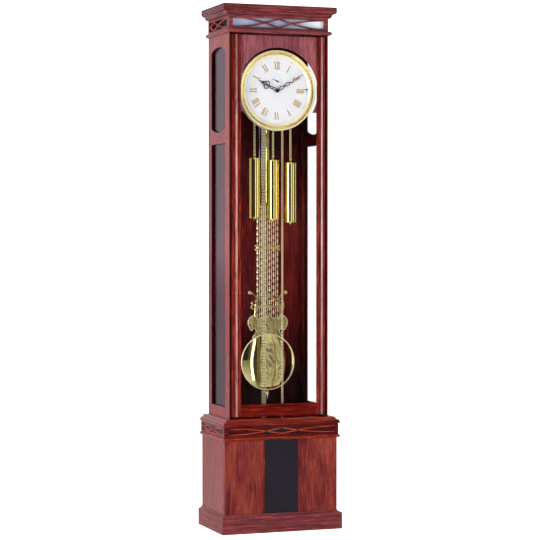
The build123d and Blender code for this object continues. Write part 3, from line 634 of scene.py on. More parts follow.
def catmull(pts, n=6, closed=False):
    out = []
    m = len(pts)
    count = m if closed else m - 1
    for i in range(count):
        p0 = Vector(pts[(i - 1) % m] if closed or i else pts[0])
        p1, p2 = Vector(pts[i]), Vector(pts[(i + 1) % m])
        p3 = Vector(pts[(i + 2) % m] if closed or i + 2 < m else pts[-1])
        for k in range(n):
            t = k / n
            out.append(tuple(0.5 * ((2 * p1) + (p2 - p0) * t + (2 * p0 - 5 * p1 + 4 * p2 - p3) * t * t + (3 * p1 - p0 - 3 * p2 + p3) * t ** 3)))
    if not closed:
        out.append(tuple(pts[-1]))
    return out


def ribbon(parts, pts, width, to3d, a0, a1, ch=0.3, closed=False, mat=0):
    """A flat bar that follows a line in its own plane, from a0 to a1 in thickness, with chamfered edges at a0."""
    n = len(pts)
    section = lambda w: [(-w / 2, a1), (-w / 2, a0 + ch), (-w / 2 + ch, a0), (w / 2 - ch, a0), (w / 2, a0 + ch), (w / 2, a1)]
    if a1 < a0:
        section = lambda w: [(-w / 2, a1), (-w / 2, a0 - ch), (-w / 2 + ch, a0), (w / 2 - ch, a0), (w / 2, a0 - ch), (w / 2, a1)]
    verts, faces = [], []
    k = 6
    for i in range(n):
        p0 = Vector(pts[(i - 1) % n] if closed or i else pts[0])
        p2 = Vector(pts[(i + 1) % n] if closed or i < n - 1 else pts[-1])
        d = (p2 - p0).normalized()
        nx, ny = -d.y, d.x
        w = width(i / (n - 1)) if callable(width) else width
        for s, a in section(w):
            verts.append(to3d(pts[i][0] + nx * s, pts[i][1] + ny * s, a))
    for i in range(n if closed else n - 1):
        j = (i + 1) % n
        for q in range(k):
            r = (q + 1) % k
            faces.append((i * k + q, i * k + r, j * k + r, j * k + q))
    if not closed:
        faces.append(tuple(range(k)))
        faces.append(tuple(range((n - 1) * k, n * k)))
    parts.add(verts, faces, mat)


def tube(parts, pts, radius, seg=10, closed=False, mat=0):
    n = len(pts)
    verts, faces = [], []
    up = None
    for i in range(n):
        p0 = Vector(pts[(i - 1) % n] if closed or i else pts[0])
        p2 = Vector(pts[(i + 1) % n] if closed or i < n - 1 else pts[-1])
        d = (p2 - p0).normalized()
        if up is None:
            up = d.orthogonal().normalized()
        up = (up - d * up.dot(d)).normalized()
        side = d.cross(up)
        r = radius(i / max(n - 1, 1)) if callable(radius) else radius
        for k in range(seg):
            t = math.tau * k / seg
            verts.append(tuple(Vector(pts[i]) + up * (r * math.cos(t)) + side * (r * math.sin(t))))
    for i in range(n if closed else n - 1):
        j = (i + 1) % n
        for q in range(seg):
            r = (q + 1) % seg
            faces.append((i * seg + q, i * seg + r, j * seg + r, j * seg + q))
    if not closed:
        faces.append(tuple(range(seg)))
        faces.append(tuple(range((n - 1) * seg, n * seg)))
    parts.add(verts, faces, mat)


def arc(cx, cy, rx, ry, t0, t1, n):
    return [(cx + rx * math.cos(math.radians(t0 + (t1 - t0) * i / n)), cy + ry * math.sin(math.radians(t0 + (t1 - t0) * i / n))) for i in range(n + 1)]


# ------------------------------------------------------------------ camera, floor and light

cam_data = bpy.data.cameras.new("camera")
cam_data.lens = 123.43
cam_data.sensor_width = 36.0
cam = bpy.data.objects.new("camera", cam_data)
cam.location = (-2.500381, -6.893616, 1.161779)
cam.rotation_euler = (math.radians(90 - 1.124), 0.0, math.radians(-19.946))
bpy.context.scene.collection.objects.link(cam)
bpy.context.scene.camera = cam
bpy.context.scene.view_settings.view_transform = "Standard"

floor_mesh = bpy.data.meshes.new("floor")
floor_mesh.from_pydata([(-30, -30, 0), (30, -30, 0), (30, 30, 0), (-30, 30, 0)], [], [(0, 1, 2, 3)])
floor = bpy.data.objects.new("floor", floor_mesh)
bpy.context.scene.collection.objects.link(floor)
fm = Mat("floor_pale")
fc = fm.mix(fm.span(fm.noise(fm.coords(), 3.0, 4.0, 0.6), 0.3, 0.7), rgb(0.86, 0.86, 0.86), rgb(0.90, 0.90, 0.90))
fp = fm.principled(Base_Color=fc, Roughness=0.9, Specular_IOR_Level=0.1)
glow = fm.node("ShaderNodeEmission")
fm.put(glow.inputs["Color"], rgb(1.0, 1.0, 1.0))
lp = fm.node("ShaderNodeLightPath")
fm.put(glow.inputs["Strength"], fm.math("MULTIPLY", lp.outputs["Is Camera Ray"], 0.90))
both = fm.node("ShaderNodeAddShader")
fm.nt.links.new(fp.outputs[0], both.inputs[0])
fm.nt.links.new(glow.outputs[0], both.inputs[1])
# mirror rays go on to the studio's lower half, which has no horizon line
gone = fm.node("ShaderNodeBsdfTransparent")
split = fm.node("ShaderNodeMixShader")
fm.put(split.inputs[0], lp.outputs["Is Glossy Ray"])
fm.nt.links.new(both.outputs[0], split.inputs[1])
fm.nt.links.new(gone.outputs[0], split.inputs[2])
fm.nt.links.new(split.outputs[0], fm.out.inputs["Surface"])
floor_mesh.materials.append(fm.mat)
floor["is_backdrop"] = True


def studio():
    """A white studio: pure white behind the object, and round it a dim room with pale screens, a dark gap in the
    middle of the front and a bright floor, which the polished parts mirror."""
    w = bpy.data.worlds.new("studio")
    bpy.context.scene.world = w
    w.use_nodes = True
    nt = w.node_tree
    nt.nodes.clear()
    out = nt.nodes.new("ShaderNodeOutputWorld")
    tc = nt.nodes.new("ShaderNodeTexCoord")
    sep = nt.nodes.new("ShaderNodeSeparateXYZ")
    nt.links.new(tc.outputs["Generated"], sep.inputs[0])

    def fm(op, a, b=0.0, c=0.0):
        n = nt.nodes.new("ShaderNodeMath")
        n.operation = op
        for k, x in enumerate((a, b, c)):
            if isinstance(x, bpy.types.NodeSocket):
                nt.links.new(x, n.inputs[k])
            else:
                n.inputs[k].default_value = x
        return n.outputs[0]

    def mr(src, a, b, c, d):
        n = nt.nodes.new("ShaderNodeMapRange")
        n.interpolation_type = "SMOOTHSTEP"
        nt.links.new(src, n.inputs["Value"])
        for k, x in zip(("From Min", "From Max", "To Min", "To Max"), (a, b, c, d)):
            if isinstance(x, bpy.types.NodeSocket):
                nt.links.new(x, n.inputs[k])
            else:
                n.inputs[k].default_value = x
        return n.outputs["Result"]

    x, y, z = sep.outputs
    # azimuth in degrees, 0 straight in front of the object, positive to its right
    az = fm("MULTIPLY", fm("ARCTAN2", x, fm("MULTIPLY", y, -1.0)), 57.29578)

    def band(a0, a1, soft):
        return fm("MULTIPLY", mr(az, a0 - soft, a0 + soft, 0.0, 1.0), mr(az, a1 - soft, a1 + soft, 1.0, 0.0))

    def over(level, mask, value):
        n = nt.nodes.new("ShaderNodeMix")
        n.data_type = "FLOAT"
        nt.links.new(mask, n.inputs[0])
        for k, v in ((2, level), (3, value)):
            if isinstance(v, bpy.types.NodeSocket):
                nt.links.new(v, n.inputs[k])
            else:
                n.inputs[k].default_value = v
        return n.outputs[0]

    # upper half: dim in front, brighter behind and at both sides
    level = mr(y, -0.75, 0.5, ROOM_FRONT, ROOM_BACK)
    level = over(level, band(66, 128, 5), SIDE_RIGHT)
    level = over(level, band(-140, -70, 6), SIDE_LEFT)
    lean = nt.nodes.new("ShaderNodeMapping")
    nt.links.new(tc.outputs["Generated"], lean.inputs["Vector"])
    lean.inputs["Rotation"].default_value = (0.0, math.radians(33), 0.0)
    vec = nt.nodes.new("ShaderNodeMapping")
    nt.links.new(lean.outputs[0], vec.inputs["Vector"])
    vec.inputs["Scale"].default_value = (5.0, 5.0, 0.9)
    cloth = nt.nodes.new("ShaderNodeTexNoise")
    nt.links.new(vec.outputs[0], cloth.inputs["Vector"])
    cloth.inputs["Scale"].default_value = 9.0
    cloth.inputs["Detail"].default_value = 5.0
    cloth.inputs["Roughness"].default_value = 0.65
    cloth.inputs["Distortion"].default_value = 0.8
    folds = mr(cloth.outputs["Fac"], 0.38, 0.62, SCREEN * 0.22, SCREEN * 1.40)
    level = over(level, band(12.0, 35, 1.2), folds)
    level = over(level, band(-44, -6, 3), 0.025)
    level = over(level, band(3, 12.0, 1.0), 0.04)
    high = mr(z, 0.1, 0.85, 1.0, 2.4)
    level = fm("MULTIPLY", level, high)
    # lower half: the floor, brighter nearer the object
    ground = mr(z, -0.45, -0.02, 0.85, 0.30)
    ground = fm("MULTIPLY", ground, mr(az, -50, 12, 1.15, 0.8))
    level = over(level, mr(z, -0.035, -0.005, 1.0, 0.0), ground)
    # the cloth screen and the gap beside it reach down to the floor close by
    foot = mr(z, -0.62, -0.40, 0.0, 1.0)
    level = over(level, fm("MULTIPLY", fm("MULTIPLY", band(12.0, 35, 1.2), foot), mr(z, -0.02, 0.0, 1.0, 0.0)), folds)
    level = over(level, fm("MULTIPLY", fm("MULTIPLY", band(3, 12.0, 1.0), foot), mr(z, -0.02, 0.0, 1.0, 0.0)), 0.06)
    bg = nt.nodes.new("ShaderNodeBackground")
    bg.inputs["Color"].default_value = (0.92, 0.955, 1.0, 1.0)
    nt.links.new(level, bg.inputs["Strength"])
    white = nt.nodes.new("ShaderNodeBackground")
    white.inputs["Color"].default_value = (1, 1, 1, 1)
    white.inputs["Strength"].default_value = 1.7
    lp = nt.nodes.new("ShaderNodeLightPath")
    mx = nt.nodes.new("ShaderNodeMixShader")
    nt.links.new(lp.outputs["Is Camera Ray"], mx.inputs[0])
    nt.links.new(bg.outputs[0], mx.inputs[1])
    nt.links.new(white.outputs[0], mx.inputs[2])
    nt.links.new(mx.outputs[0], out.inputs["Surface"])


ROOM_FRONT, ROOM_BACK, SIDE_LEFT, SIDE_RIGHT, SCREEN = 0.13, 0.55, 0.70, 0.70, 0.56
studio()


def lamp(name, at, to, size_x, size_y, watts, colour=(1, 1, 1), spread=180):
    d = bpy.data.lights.new(name, "AREA")
    d.shape = "RECTANGLE"
    d.size, d.size_y = size_x, size_y
    d.energy = watts
    d.color = colour
    d.spread = math.radians(spread)
    o = bpy.data.objects.new(name, d)
    o.location = at
    o.rotation_euler = (Vector(to) - Vector(at)).to_track_quat("-Z", "Y").to_euler()
    o.visible_camera = False
    bpy.context.scene.collection.objects.link(o)
    return o


def lamp_at(name, azimuth, distance, z, width, height, radiance, colour=(1, 1, 1), aim=1.05):
    """A soft box seen from the object at an azimuth (0 in front, positive to its right), with an even radiance."""
    a = math.radians(azimuth)
    at = (distance * math.sin(a), -distance * math.cos(a), z)
    return lamp(name, at, (0, 0, aim), width, height, radiance * math.pi * width * height, colour)


lamp_at("key_left", -68, 4.0, 1.12, 1.6, 1.9, 17.0, (1.0, 0.99, 0.975))
lamp_at("strip_front", 0, 4.6, 0.85, 0.32, 5.2, 4.6, aim=0.85)
lamp_at("soft_right", 50, 4.6, 1.25, 1.7, 2.4, 1.5, (0.975, 0.985, 1.0))
lamp_at("fill_right", 44, 4.4, 1.3, 2.0, 2.2, 5.2, (0.975, 0.985, 1.0)).visible_glossy = False
lamp("top", (-0.4, -1.4, 4.6), (0, 0, 0.6), 2.6, 2.0, 24, (1.0, 1.0, 1.0))

# ------------------------------------------------------------------ base

P = Parts()
surround(P, [(247.5, -151.5, 0.0), (248.5, -152.5, 1.0), (248.5, -152.5, 63.0), (248.2, -152.2, 64.4), (247.4, -151.4, 65.5),
             (246.0, -150.0, 66.1), (243.2, -147.2, 66.4), (243.0, -147.0, 67.0), (240.8, -144.8, 67.4), (238.4, -142.4, 68.4), (236.4, -140.4, 70.2),
             (235.2, -139.2, 72.4), (234.8, -138.8, 74.0), (232.55, -136.05, 74.0), (232.55, -136.05, 0.0)])
make("plinth_moulding", P, [mahogany("x", 1, "plinth"), mahogany("y", 2, "low")], nodes=["plinth"])

for s, tag in ((-1, "left"), (1, "right")):
    P = Parts()
    plate(P, [rect(-118, BACK, 12, 417)], YZ, s * 214.5, s * 232.5, 0, 0.5)
    make("base_side_board_" + tag, P, [mahogany("z", 3 if s < 0 else 4, "side")], nodes=["base_side_" + tag])

P = Parts()
box(P, -232.5, -77.0, -136, -118, 12, 417, 0.7)
box(P, -76.6, -70.0, -135.4, -118, 12, 417, 0.7, mat=1)
make("base_veneer_left", P, [mahogany("z", 5, "figure"), mahogany("z", 21)], nodes=["base_panel_left"])
P = Parts()
box(P, 70.0, 232.5, -136, -118, 12, 417, 0.7)
make("base_veneer_right", P, [mahogany("z", 9, "figure")], nodes=["base_panel_right"])
P = Parts()
box(P, -69.8, 69.8, -134.9, -118, 12, 417, 0.4)
make("base_panel_lacquer", P, [black_panel], nodes=["base_panel_black"])

P = Parts()
half_round = [(238.0 + 4.5 * math.sin(t), -142.0 - 4.5 * math.sin(t), 366.5 - 5.5 * math.cos(t)) for t in [math.pi * i / 12 for i in range(13)]]
surround(P, [(232.55, -136.05, 361.0)] + half_round + [(232.55, -136.05, 372.0)])
make("base_bead_moulding", P, [mahogany("x", 6), mahogany("y", 7, "low")], nodes=["base_bead"])


def lattice_line(start, span, low, high, rising, count=28):
    pts = []
    for i in range(count + 1):
        u = i / count
        drop = (high - low) * u * u
        pts.append((start + span * u, low + drop if rising else high - drop))
    return pts


# fretwork band of the base: rails, end blocks and crossing bars on the front and both sides
P = Parts()
plate(P, [rect(-237, 237, 372, 417), rect(-222, 222, 383, 407)], XZ, -136.05, -141, 0, 0.6, 2)
for s in (-1, 1):
    plate(P, [rect(-136.0, BACK, 372, 417), rect(-125, 146, 383, 407)], YZ, s * 232.55, s * 237, 0, 0.6, 2, mat=1)
for rising in (True, False):
    low, high = 383.0, 407.0
    for s in (-1, 1):
        ribbon(P, lattice_line(s * 224, -s * 224, low, high, rising), 5.0, XZ, -140.6, -136.05, 0.9, mat=2)
        for a, b in ((-127, 190), (253, -190)):
            line = [(y, z) for y, z in lattice_line(a, b, low, high, rising) if y < 147]
            ribbon(P, line, 5.0, YZ, s * 236.6, s * 232.55, 0.9, mat=3)
make("base_fret_band", P, [mahogany("x", 8, "band"), mahogany("y", 9, "low"), mahogany("x", 31, "lattice"), mahogany("y", 32, "lattice")], nodes=["base_fretwork"])

# painted shade: a dark red sheet behind the front openings of the band, and a black one behind the side openings, for
# the shade in the recess
P = Parts()
for s in (-1, 1):
    plate(P, [rect(*sorted((s * 70.2, s * 221.9)), 383.1, 406.9)], XZ, -135.9, -136.35)
make("fret_shade_sheet_front", P, [mahogany("x", 36, "ground")])
for s, tag in ((-1, "left"), (1, "right")):
    P = Parts()
    plate(P, [rect(-124.9, 145.9, 383.1, 406.9)], YZ, s * 232.3, s * 232.9)
    make("fret_shade_sheet_" + tag, P, [black_panel])

P = Parts()
top_prof = [(239.0, -144.0, 417.0)]
top_prof += [(240.5 + 4.0 * math.sin(t), -146.5 - 4.0 * math.sin(t), 420.0 - 3.0 * math.cos(t)) for t in [math.pi * i / 8 for i in range(1, 8)]]
top_prof += [(240.5, -146.5, 423.0), (240.4, -146.4, 425.4)]
top_prof += [(240.2 - 7.6 * (1 - math.cos(t)), -146.2 + 7.6 * (1 - math.cos(t)), 425.6 + 6.8 * math.sin(t)) for t in [math.pi / 2 * i / 6 for i in range(1, 7)]]
top_prof += [(228.9, -134.9, 433.2), (228.5, -134.5, 434.0), (228.4, -134.4, 436.2)]
top_prof += [(228.2 - 7.2 * (1 - math.cos(t)), -134.2 + 6.7 * (1 - math.cos(t)), 436.4 + 5.6 * math.sin(t)) for t in [math.pi / 2 * i / 6 for i in range(1, 7)]]
top_prof += [(202.0, -106.0, 442.0), (202.0, -106.0, 417.0)]
surround(P, top_prof)
plate(P, [rect(-201.9, 201.9, -105.9, BACK), rect(-70, 70, -50, -10)], XY, 417, 442, 0, 0.5, mat=0)
make("base_top_moulding", P, [mahogany("x", 10), mahogany("y", 11, "side")], nodes=["base_top"])

# interior boards: the 'inside' tone paints shade into the colour, darker towards the top and the bottom
finish_node("base_floor", mahogany("x", 12, "inside"))
finish_node("base_back", mahogany("z", 13, "inside"))
finish_node("back_panel", mahogany("z", 14, "inside"))
finish_node("seatboard", mahogany("x", 15, "inside"))

# ------------------------------------------------------------------ trunk

half = 84.0
mid = 28.0
rad = (half * half + 18 * 18) / 36.0


def window_arch(grow=0.0):
    pts = []
    for i in range(33):
        y = -56 + 168 * i / 32
        pts.append((y, 1875 + math.sqrt(rad * rad - (y - mid) ** 2) - (rad - 18)))
    for i in range(33):
        y = 112 - 168 * i / 32
        pts.append((y, 1577 - math.sqrt(rad * rad - (y - mid) ** 2) + (rad - 18)))
    return pts


for s, tag in ((-1, "left"), (1, "right")):
    P = Parts()
    low_win = rect(-56, 112, 485, 1513)
    rebate = [rect(-62, 118, 479, 1519), rect(-62, 118, 1553, 1899)]
    # painted shade: the outer edges of the skin are in the 'ground' tone, and the window reveals and the two layers
    # behind the skin are in the 'shadow' tone
    plate(P, [rect(-108, BACK, 442, 1940), low_win, window_arch()], YZ, s * 200.6, s * 205, 0, 0.8, 3, rim=3, holes=1)
    plate(P, [rect(-101, BACK, 442, 1940), low_win, window_arch()], YZ, s * 196.5, s * 200.6, mat=1)
    plate(P, [rect(-101, BACK, 442, 1940)] + rebate, YZ, s * 194.6, s * 196.5, mat=1)
    plate(P, [rect(-94.5, BACK, 442, 1940)] + rebate, YZ, s * 187, s * 194.6, mat=2)
    make("trunk_board_" + tag, P, [mahogany("z", 16 if s < 0 else 17, "side"), mahogany("z", 33, "shadow"), mahogany("z", 34 if s < 0 else 35, "inside"), mahogany("z", 40, "ground")],
         nodes=["trunk_side_" + tag])
    finish_node("side_glass_lower_" + tag, glass_side)
    finish_node("side_glass_upper_" + tag, glass_side)

# ------------------------------------------------------------------ hood

P = Parts()
ring = [(209.5 + 7.5 * math.sin(t), -114.5 - 7.5 * math.sin(t), 1947.75 - 7.75 * math.cos(t)) for t in [math.pi * i / 14 for i in range(15)]]
surround(P, [(187.0, -84.0, 1940.0)] + ring + [(187.0, -84.0, 1955.5)])
box(P, -192, 192, 140.5, BACK, 1939.5, 1956, 0.4)
make("hood_bead", P, [mahogany("x", 18, "top"), mahogany("y", 19, "top")], nodes=["hood_moulding"])

P = Parts()
plate(P, [rect(-206, 206, 1955.5, 2009), rect(-190, 190, 1963, 1999)], XZ, -95.05, -109, 0, 0.8, 2)
for s in (-1, 1):
    plate(P, [rect(-95.0, BACK, 1955.5, 2009), rect(-85, 139.5, 1963, 1999)], YZ, s * 192, s * 206, 0, 0.8, 2, mat=1)
box(P, -192, 192, 140.5, BACK, 1955.5, 2009, 0.4, mat=0)
for rising in (True, False):
    low, high = 1963.2, 1998.8
    for s in (-1, 1):
        ribbon(P, lattice_line(s * 192, -s * 192, low, high, rising), 5.8, XZ, -108.2, -100.0, 1.2)
        for a, b in ((-87, 170), (253, -170)):
            line = [(y, z) for y, z in lattice_line(a, b, low, high, rising) if y < 141]
            ribbon(P, line, 4.6, YZ, s * 205.2, s * 199.0, 1.0, mat=2)
make("hood_fret_band", P, [mahogany("x", 20, "top"), mahogany("y", 22, "low"), mahogany("y", 39, "lattice")], nodes=["hood_fretwork"])
finish_node("hood_pane", satin_pane())


def shade_glow_sheet():
    """A dark sheet behind the side lattice of the hood: painted shade of the hood's inside, with a painted glow of
    light towards its front end.
    """
    m = Mat("painted_shade_glow")
    tc = m.node("ShaderNodeTexCoord")
    sep = m.node("ShaderNodeSeparateXYZ")
    m.put(sep.inputs[0], tc.outputs["Object"])
    haze = m.noise(m.coords((1, 0.3, 1)), 60.0, 3.0, 0.6)
    # painted light: the sheet turns pale blue towards its front end
    glow = m.span(sep.outputs["Y"], -0.030, -0.088)
    c = m.mix(m.math("MULTIPLY", glow, m.span(haze, 0.2, 0.8, 0.8, 1.0)), rgb(0.0035, 0.003, 0.004), rgb(0.34, 0.43, 0.50))
    m.principled(Base_Color=c, Roughness=m.span(haze, 0.3, 0.7, 0.25, 0.4), Specular_IOR_Level=0.15)
    return m.mat


side_shade_glow = shade_glow_sheet()
for s, tag in ((-1, "left"), (1, "right")):
    P = Parts()
    plate(P, [rect(-91.5, 140.4, 1956.5, 2008.5)], YZ, s * 190.5, s * 193.0, 0.3, 0.3, 2)
    make("hood_side_shade_" + tag, P, [side_shade_glow])

P = Parts()
corn = [(217.0, -115.0, 2009.0), (217.0, -115.0, 2012.4)]
corn += [(218.0 + 12.6 * (1 - math.cos(t)), -116.0 - 9.0 * (1 - math.cos(t)), 2013.0 + 11.4 * math.sin(t)) for t in [math.pi / 2 * i / 8 for i in range(9)]]
corn += [(231.0, -125.5, 2024.6), (231.0, -125.5, 2026.0), (231.8, -126.3, 2026.4), (233.4, -127.9, 2027.4), (234.3, -128.8, 2028.8), (234.5, -129.0, 2030.4),
         (234.5, -129.0, 2047.6), (234.2, -128.7, 2048.9), (233.4, -127.9, 2049.7), (232.2, -126.7, 2050.0), (192.0, -95.0, 2050.0), (192.0, -95.0, 2009.0)]
surround(P, corn)
box(P, -191.9, 191.9, -94.9, 140.4, 2026, 2049.9, 0.3)
box(P, -191.9, 191.9, 140.5, 152.4, 2009, 2049.9, 0.3)
make("cornice_moulding", P, [mahogany("x", 23, "crown"), mahogany("y", 24, "crown")], nodes=["cornice"])

# ------------------------------------------------------------------ door

bead = [(176.7 - 5.9 * math.copysign(abs(math.cos(t)) ** 0.8, math.cos(t)), -106.3 - 4.6 * math.sin(t) ** 0.62) for t in [math.pi * i / 20 for i in range(21)]]
STILE = [(157.5, -95), (157.5, -103), (162.2, -103), (162.2, -106), (157.5, -106), (157.5, -108.0), (157.8, -108.7), (158.5, -109),
         (167.0, -109), (167.8, -108.7), (168.3, -107.9), (168.6, -106.4), (170.6, -106.2)] + bead + [
             (182.9, -106.3), (184.6, -106.2), (186.2, -105.4), (187.8, -104.4), (189.6, -103.6), (191.6, -103.1), (194, -102.8), (194, -95)]
HEAD = [(178.2, -95)] + [(178.2, -103), (162.2, -103), (162.2, -106), (157.5, -106), (157.5, -108.0), (157.8, -108.7), (158.5, -109),
        (167.0, -109), (167.8, -108.7), (168.3, -107.9), (168.6, -106.4), (170.6, -106.2)] + bead + [
             (182.9, -106.3), (184.6, -106.2), (186.2, -105.4), (187.8, -104.4), (189.6, -103.6), (191.6, -103.1), (194, -102.8), (194, -95)]
for s, tag in ((-1, "left"), (1, "right")):
    P = Parts()
    plate(P, [[(s * x, y) for x, y in STILE]], XY, 449.5, 496.5)
    plate(P, [[(s * x, y) for x, y in [(160.8, -95), (160.8, -103)] + STILE[2:]]], XY, 496.5, 1637)
    plate(P, [[(s * x, y) for x, y in HEAD]], XY, 1637, 1933)
    # painted highlight: a thin strip over the bead in a bead tone, covering the inner side and crest of the left bead
    # and the crest and outer side of the right one
    highlight_strip = [(s * x, y - 0.06) for x, y in (bead[:14] if s < 0 else bead[9:])]
    plate(P, [[(highlight_strip[0][0], -105.0)] + highlight_strip + [(highlight_strip[-1][0], -105.0)]], XY, 449.6, 1932.9, mat=1)
    make("door_moulding_" + tag, P, [mahogany("z", 25 if s < 0 else 26), mahogany("z", 37, "bead") if s < 0 else mahogany("z", 38, "bead_right")], "door", nodes=["door_stile_" + tag], angle=36)

P = Parts()
box(P, -157.5, 157.5, -109, -106.05, 449.5, 496.5, 0.9)
box(P, -157.5, 157.5, -106.1, -102.9, 449.5, 489.8, 0.2)
box(P, -157.5, 157.5, -103.0, -95, 449.5, 496.5, 0.8)
rail = make("door_bottom_rail", P, [mahogany("x", 27, "rail")], "door", nodes=["door_rail"])
rail.visible_glossy = False

P = Parts()
outline = []
a0 = math.degrees(math.asin((1637 - 1721.3) / 166.0))
cut = arc(0, 1721.3, 166, 166, 180 - a0, a0, 120)
outline = [(-178, 1637)] + cut + [(178, 1637), (178, 1933), (-178, 1933)]
plate(P, [outline], XZ, -95, -103, 0.4, 0.8, 2)
make("door_arched_head", P, [mahogany("z", 28, "head")], "door", nodes=["door_head"])
finish_node("door_glass", glass_front)
finish_node("door_pivot_arms", pin_painted_shade)
finish_node("case_pivots", pin_painted_shade)

# ------------------------------------------------------------------ movement and dial

for node in ("movement_plate_front", "movement_plate_back", "movement_pillars", "suspension_cock"):
    finish_node(node, plate_brass)
for t in ("left", "centre", "right"):
    finish_node("chain_wheel_" + t, plate_brass)
finish_node("dial", enamel_white)
finish_node("selector_lever", hand_black)
DZ = 1721.3

P = Parts()
rim_ring = [(154.0, -69.0), (156.6, -69.0), (157.0, -69.4), (157.0, -91.6), (156.7, -92.8), (156.0, -93.6), (155.0, -94.0), (153.4, -94.0), (152.4, -93.5),
            (151.8, -92.6), (151.8, -89.3), (153.6, -89.6)]
gold_ring = [(152.0, -92.4), (151.0, -92.2), (149.6, -91.9), (148.0, -91.2), (146.0, -90.4), (144.0, -89.8), (142.4, -89.6), (141.2, -89.7), (140.5, -89.9),
             (140.5, -84.0), (142.0, -80.5), (147.0, -87.0), (151.0, -89.2), (152.0, -89.3)]
pale_ring = [(140.8, -89.8), (140.6, -90.2), (140.0, -90.5), (139.2, -90.4), (138.4, -89.9), (137.0, -88.5), (135.4, -86.8), (133.6, -85.0), (132.0, -83.4), (131.3, -82.7),
             (131.2, -82.1), (139.4, -82.0), (139.4, -80.5), (141.6, -80.5), (140.8, -84.0)]
lathe(P, rim_ring, (0, 0, DZ), "y", 192, True, mat=1)
lathe(P, gold_ring, (0, 0, DZ), "y", 192, True)
lathe(P, pale_ring, (0, 0, DZ), "y", 192, True, mat=1)
make("dial_bezel_turned", P, [bezel_brass, pale_brass], nodes=["dial_bezel"], angle=50)


def place(points, deg, cz=DZ, cx=0.0):
    a = math.radians(deg)
    return [(cx + s * math.cos(a) + l * math.sin(a), cz - s * math.sin(a) + l * math.cos(a)) for s, l in points]


def letter(kind):
    """Strokes of one Roman letter as polygons (side, height), its width, the height running 0 to 30."""
    H = 30.0
    foot = [(-3.0, 0), (3.0, 0), (3.0, 1.5), (1.9, 2.2), (-1.9, 2.2), (-3.0, 1.5)]
    if kind == "I":
        return [[(-1.95, 0), (1.95, 0), (1.95, H), (-1.95, H)], foot, [(s, H - l) for s, l in reversed(foot)]], 6.0
    if kind == "V":
        return [[(-5.6, H), (-1.9, H), (1.6, 4.6), (0.8, 0), (-0.9, 0)],
                [(0.8, 0), (-0.9, 0), (-0.2, 3.0), (3.0, H), (4.9, H)],
                [(-6.9, H), (-6.6, H - 1.6), (-0.9, H - 1.6), (-0.6, H)],
                [(1.7, H), (2.0, H - 1.6), (5.9, H - 1.6), (6.2, H)]], 13.0
    return [[(-5.6, H), (-1.8, H), (5.6, 0), (1.8, 0)],
            [(-5.0, 0), (-3.1, 0), (5.0, H), (3.1, H)],
            [(-6.4, H), (-6.1, H - 1.6), (-0.9, H - 1.6), (-0.6, H)],
            [(1.9, H), (2.2, H - 1.6), (5.8, H - 1.6), (6.1, H)],
            [(-6.1, 0), (-5.8, 1.6), (-2.2, 1.6), (-1.9, 0)],
            [(0.6, 0), (0.9, 1.6), (6.1, 1.6), (6.4, 0)]], 12.6


P = Parts()
for hour, text in enumerate(["XII", "I", "II", "III", "IIII", "V", "VI", "VII", "VIII", "IX", "X", "XI"]):
    total = sum(letter(ch)[1] for ch in text)
    x = -total / 2
    for ch in text:
        strokes, w = letter(ch)
        for k, st in enumerate(strokes):
            moved = place([(x + w / 2 + s, 83.0 + l) for s, l in st], hour * 30)
            plate(P, [moved], XZ, -81.9, -82.10 - 0.012 * (k % 3))
        x += w
make("dial_numerals", P, [numeral_gold], weighted=False)

P = Parts()
for hour in range(12):
    a = math.radians(hour * 30)
    cx, cz = 99.5 * math.sin(a), DZ + 99.5 * math.cos(a)
    ringpts = [(cx + 19.5 * math.cos(t), cz + 19.5 * math.sin(t)) for t in [math.tau * i / 40 for i in range(40)]]
    inner = [(cx + 18.9 * math.cos(t), cz + 18.9 * math.sin(t)) for t in [math.tau * i / 40 for i in range(40)]]
    plate(P, [ringpts, inner], XZ, -81.95, -82.03)
make("dial_medallions", P, [medallion], weighted=False)

P = Parts()
plate(P, [circle(0, DZ, 128.2, 144), circle(0, DZ, 127.9, 144)], XZ, -81.95, -82.04)
plate(P, [circle(0, DZ, 124.4, 144), circle(0, DZ, 124.1, 144)], XZ, -81.95, -82.04)
for i in range(60):
    if i % 5:
        plate(P, [place([(-0.28, 124.3), (0.28, 124.3), (0.28, 128.0), (-0.28, 128.0)], i * 6)], XZ, -81.95, -82.04)
    else:
        plate(P, [place([(1.9 * math.cos(t), 126.2 + 2.3 * math.sin(t)) for t in [math.tau * k / 12 for k in range(12)]], i * 6)], XZ, -81.95, -82.06)
cz = DZ + 37.0
plate(P, [circle(0, cz, 20.6, 72), circle(0, cz, 20.3, 72)], XZ, -81.95, -82.04)
for i in range(60):
    lo = 18.2 if i % 5 else 16.4
    hw = 0.16 if i % 5 else 0.34
    plate(P, [place([(-hw, lo), (hw, lo), (hw, 20.4), (-hw, 20.4)], i * 6, cz)], XZ, -81.95, -82.04)
make("dial_tracks", P, [track_grey], weighted=False)

# hands: pierced, serpentine
HOUR, MINUTE = 297.0, 58.0


def stroke(P, pts, width, deg, y0, y1, closed=False):
    ribbon(P, place(catmull(pts, 5, closed), deg), width * 1.2, XZ, y0, y1, 0.25, closed)


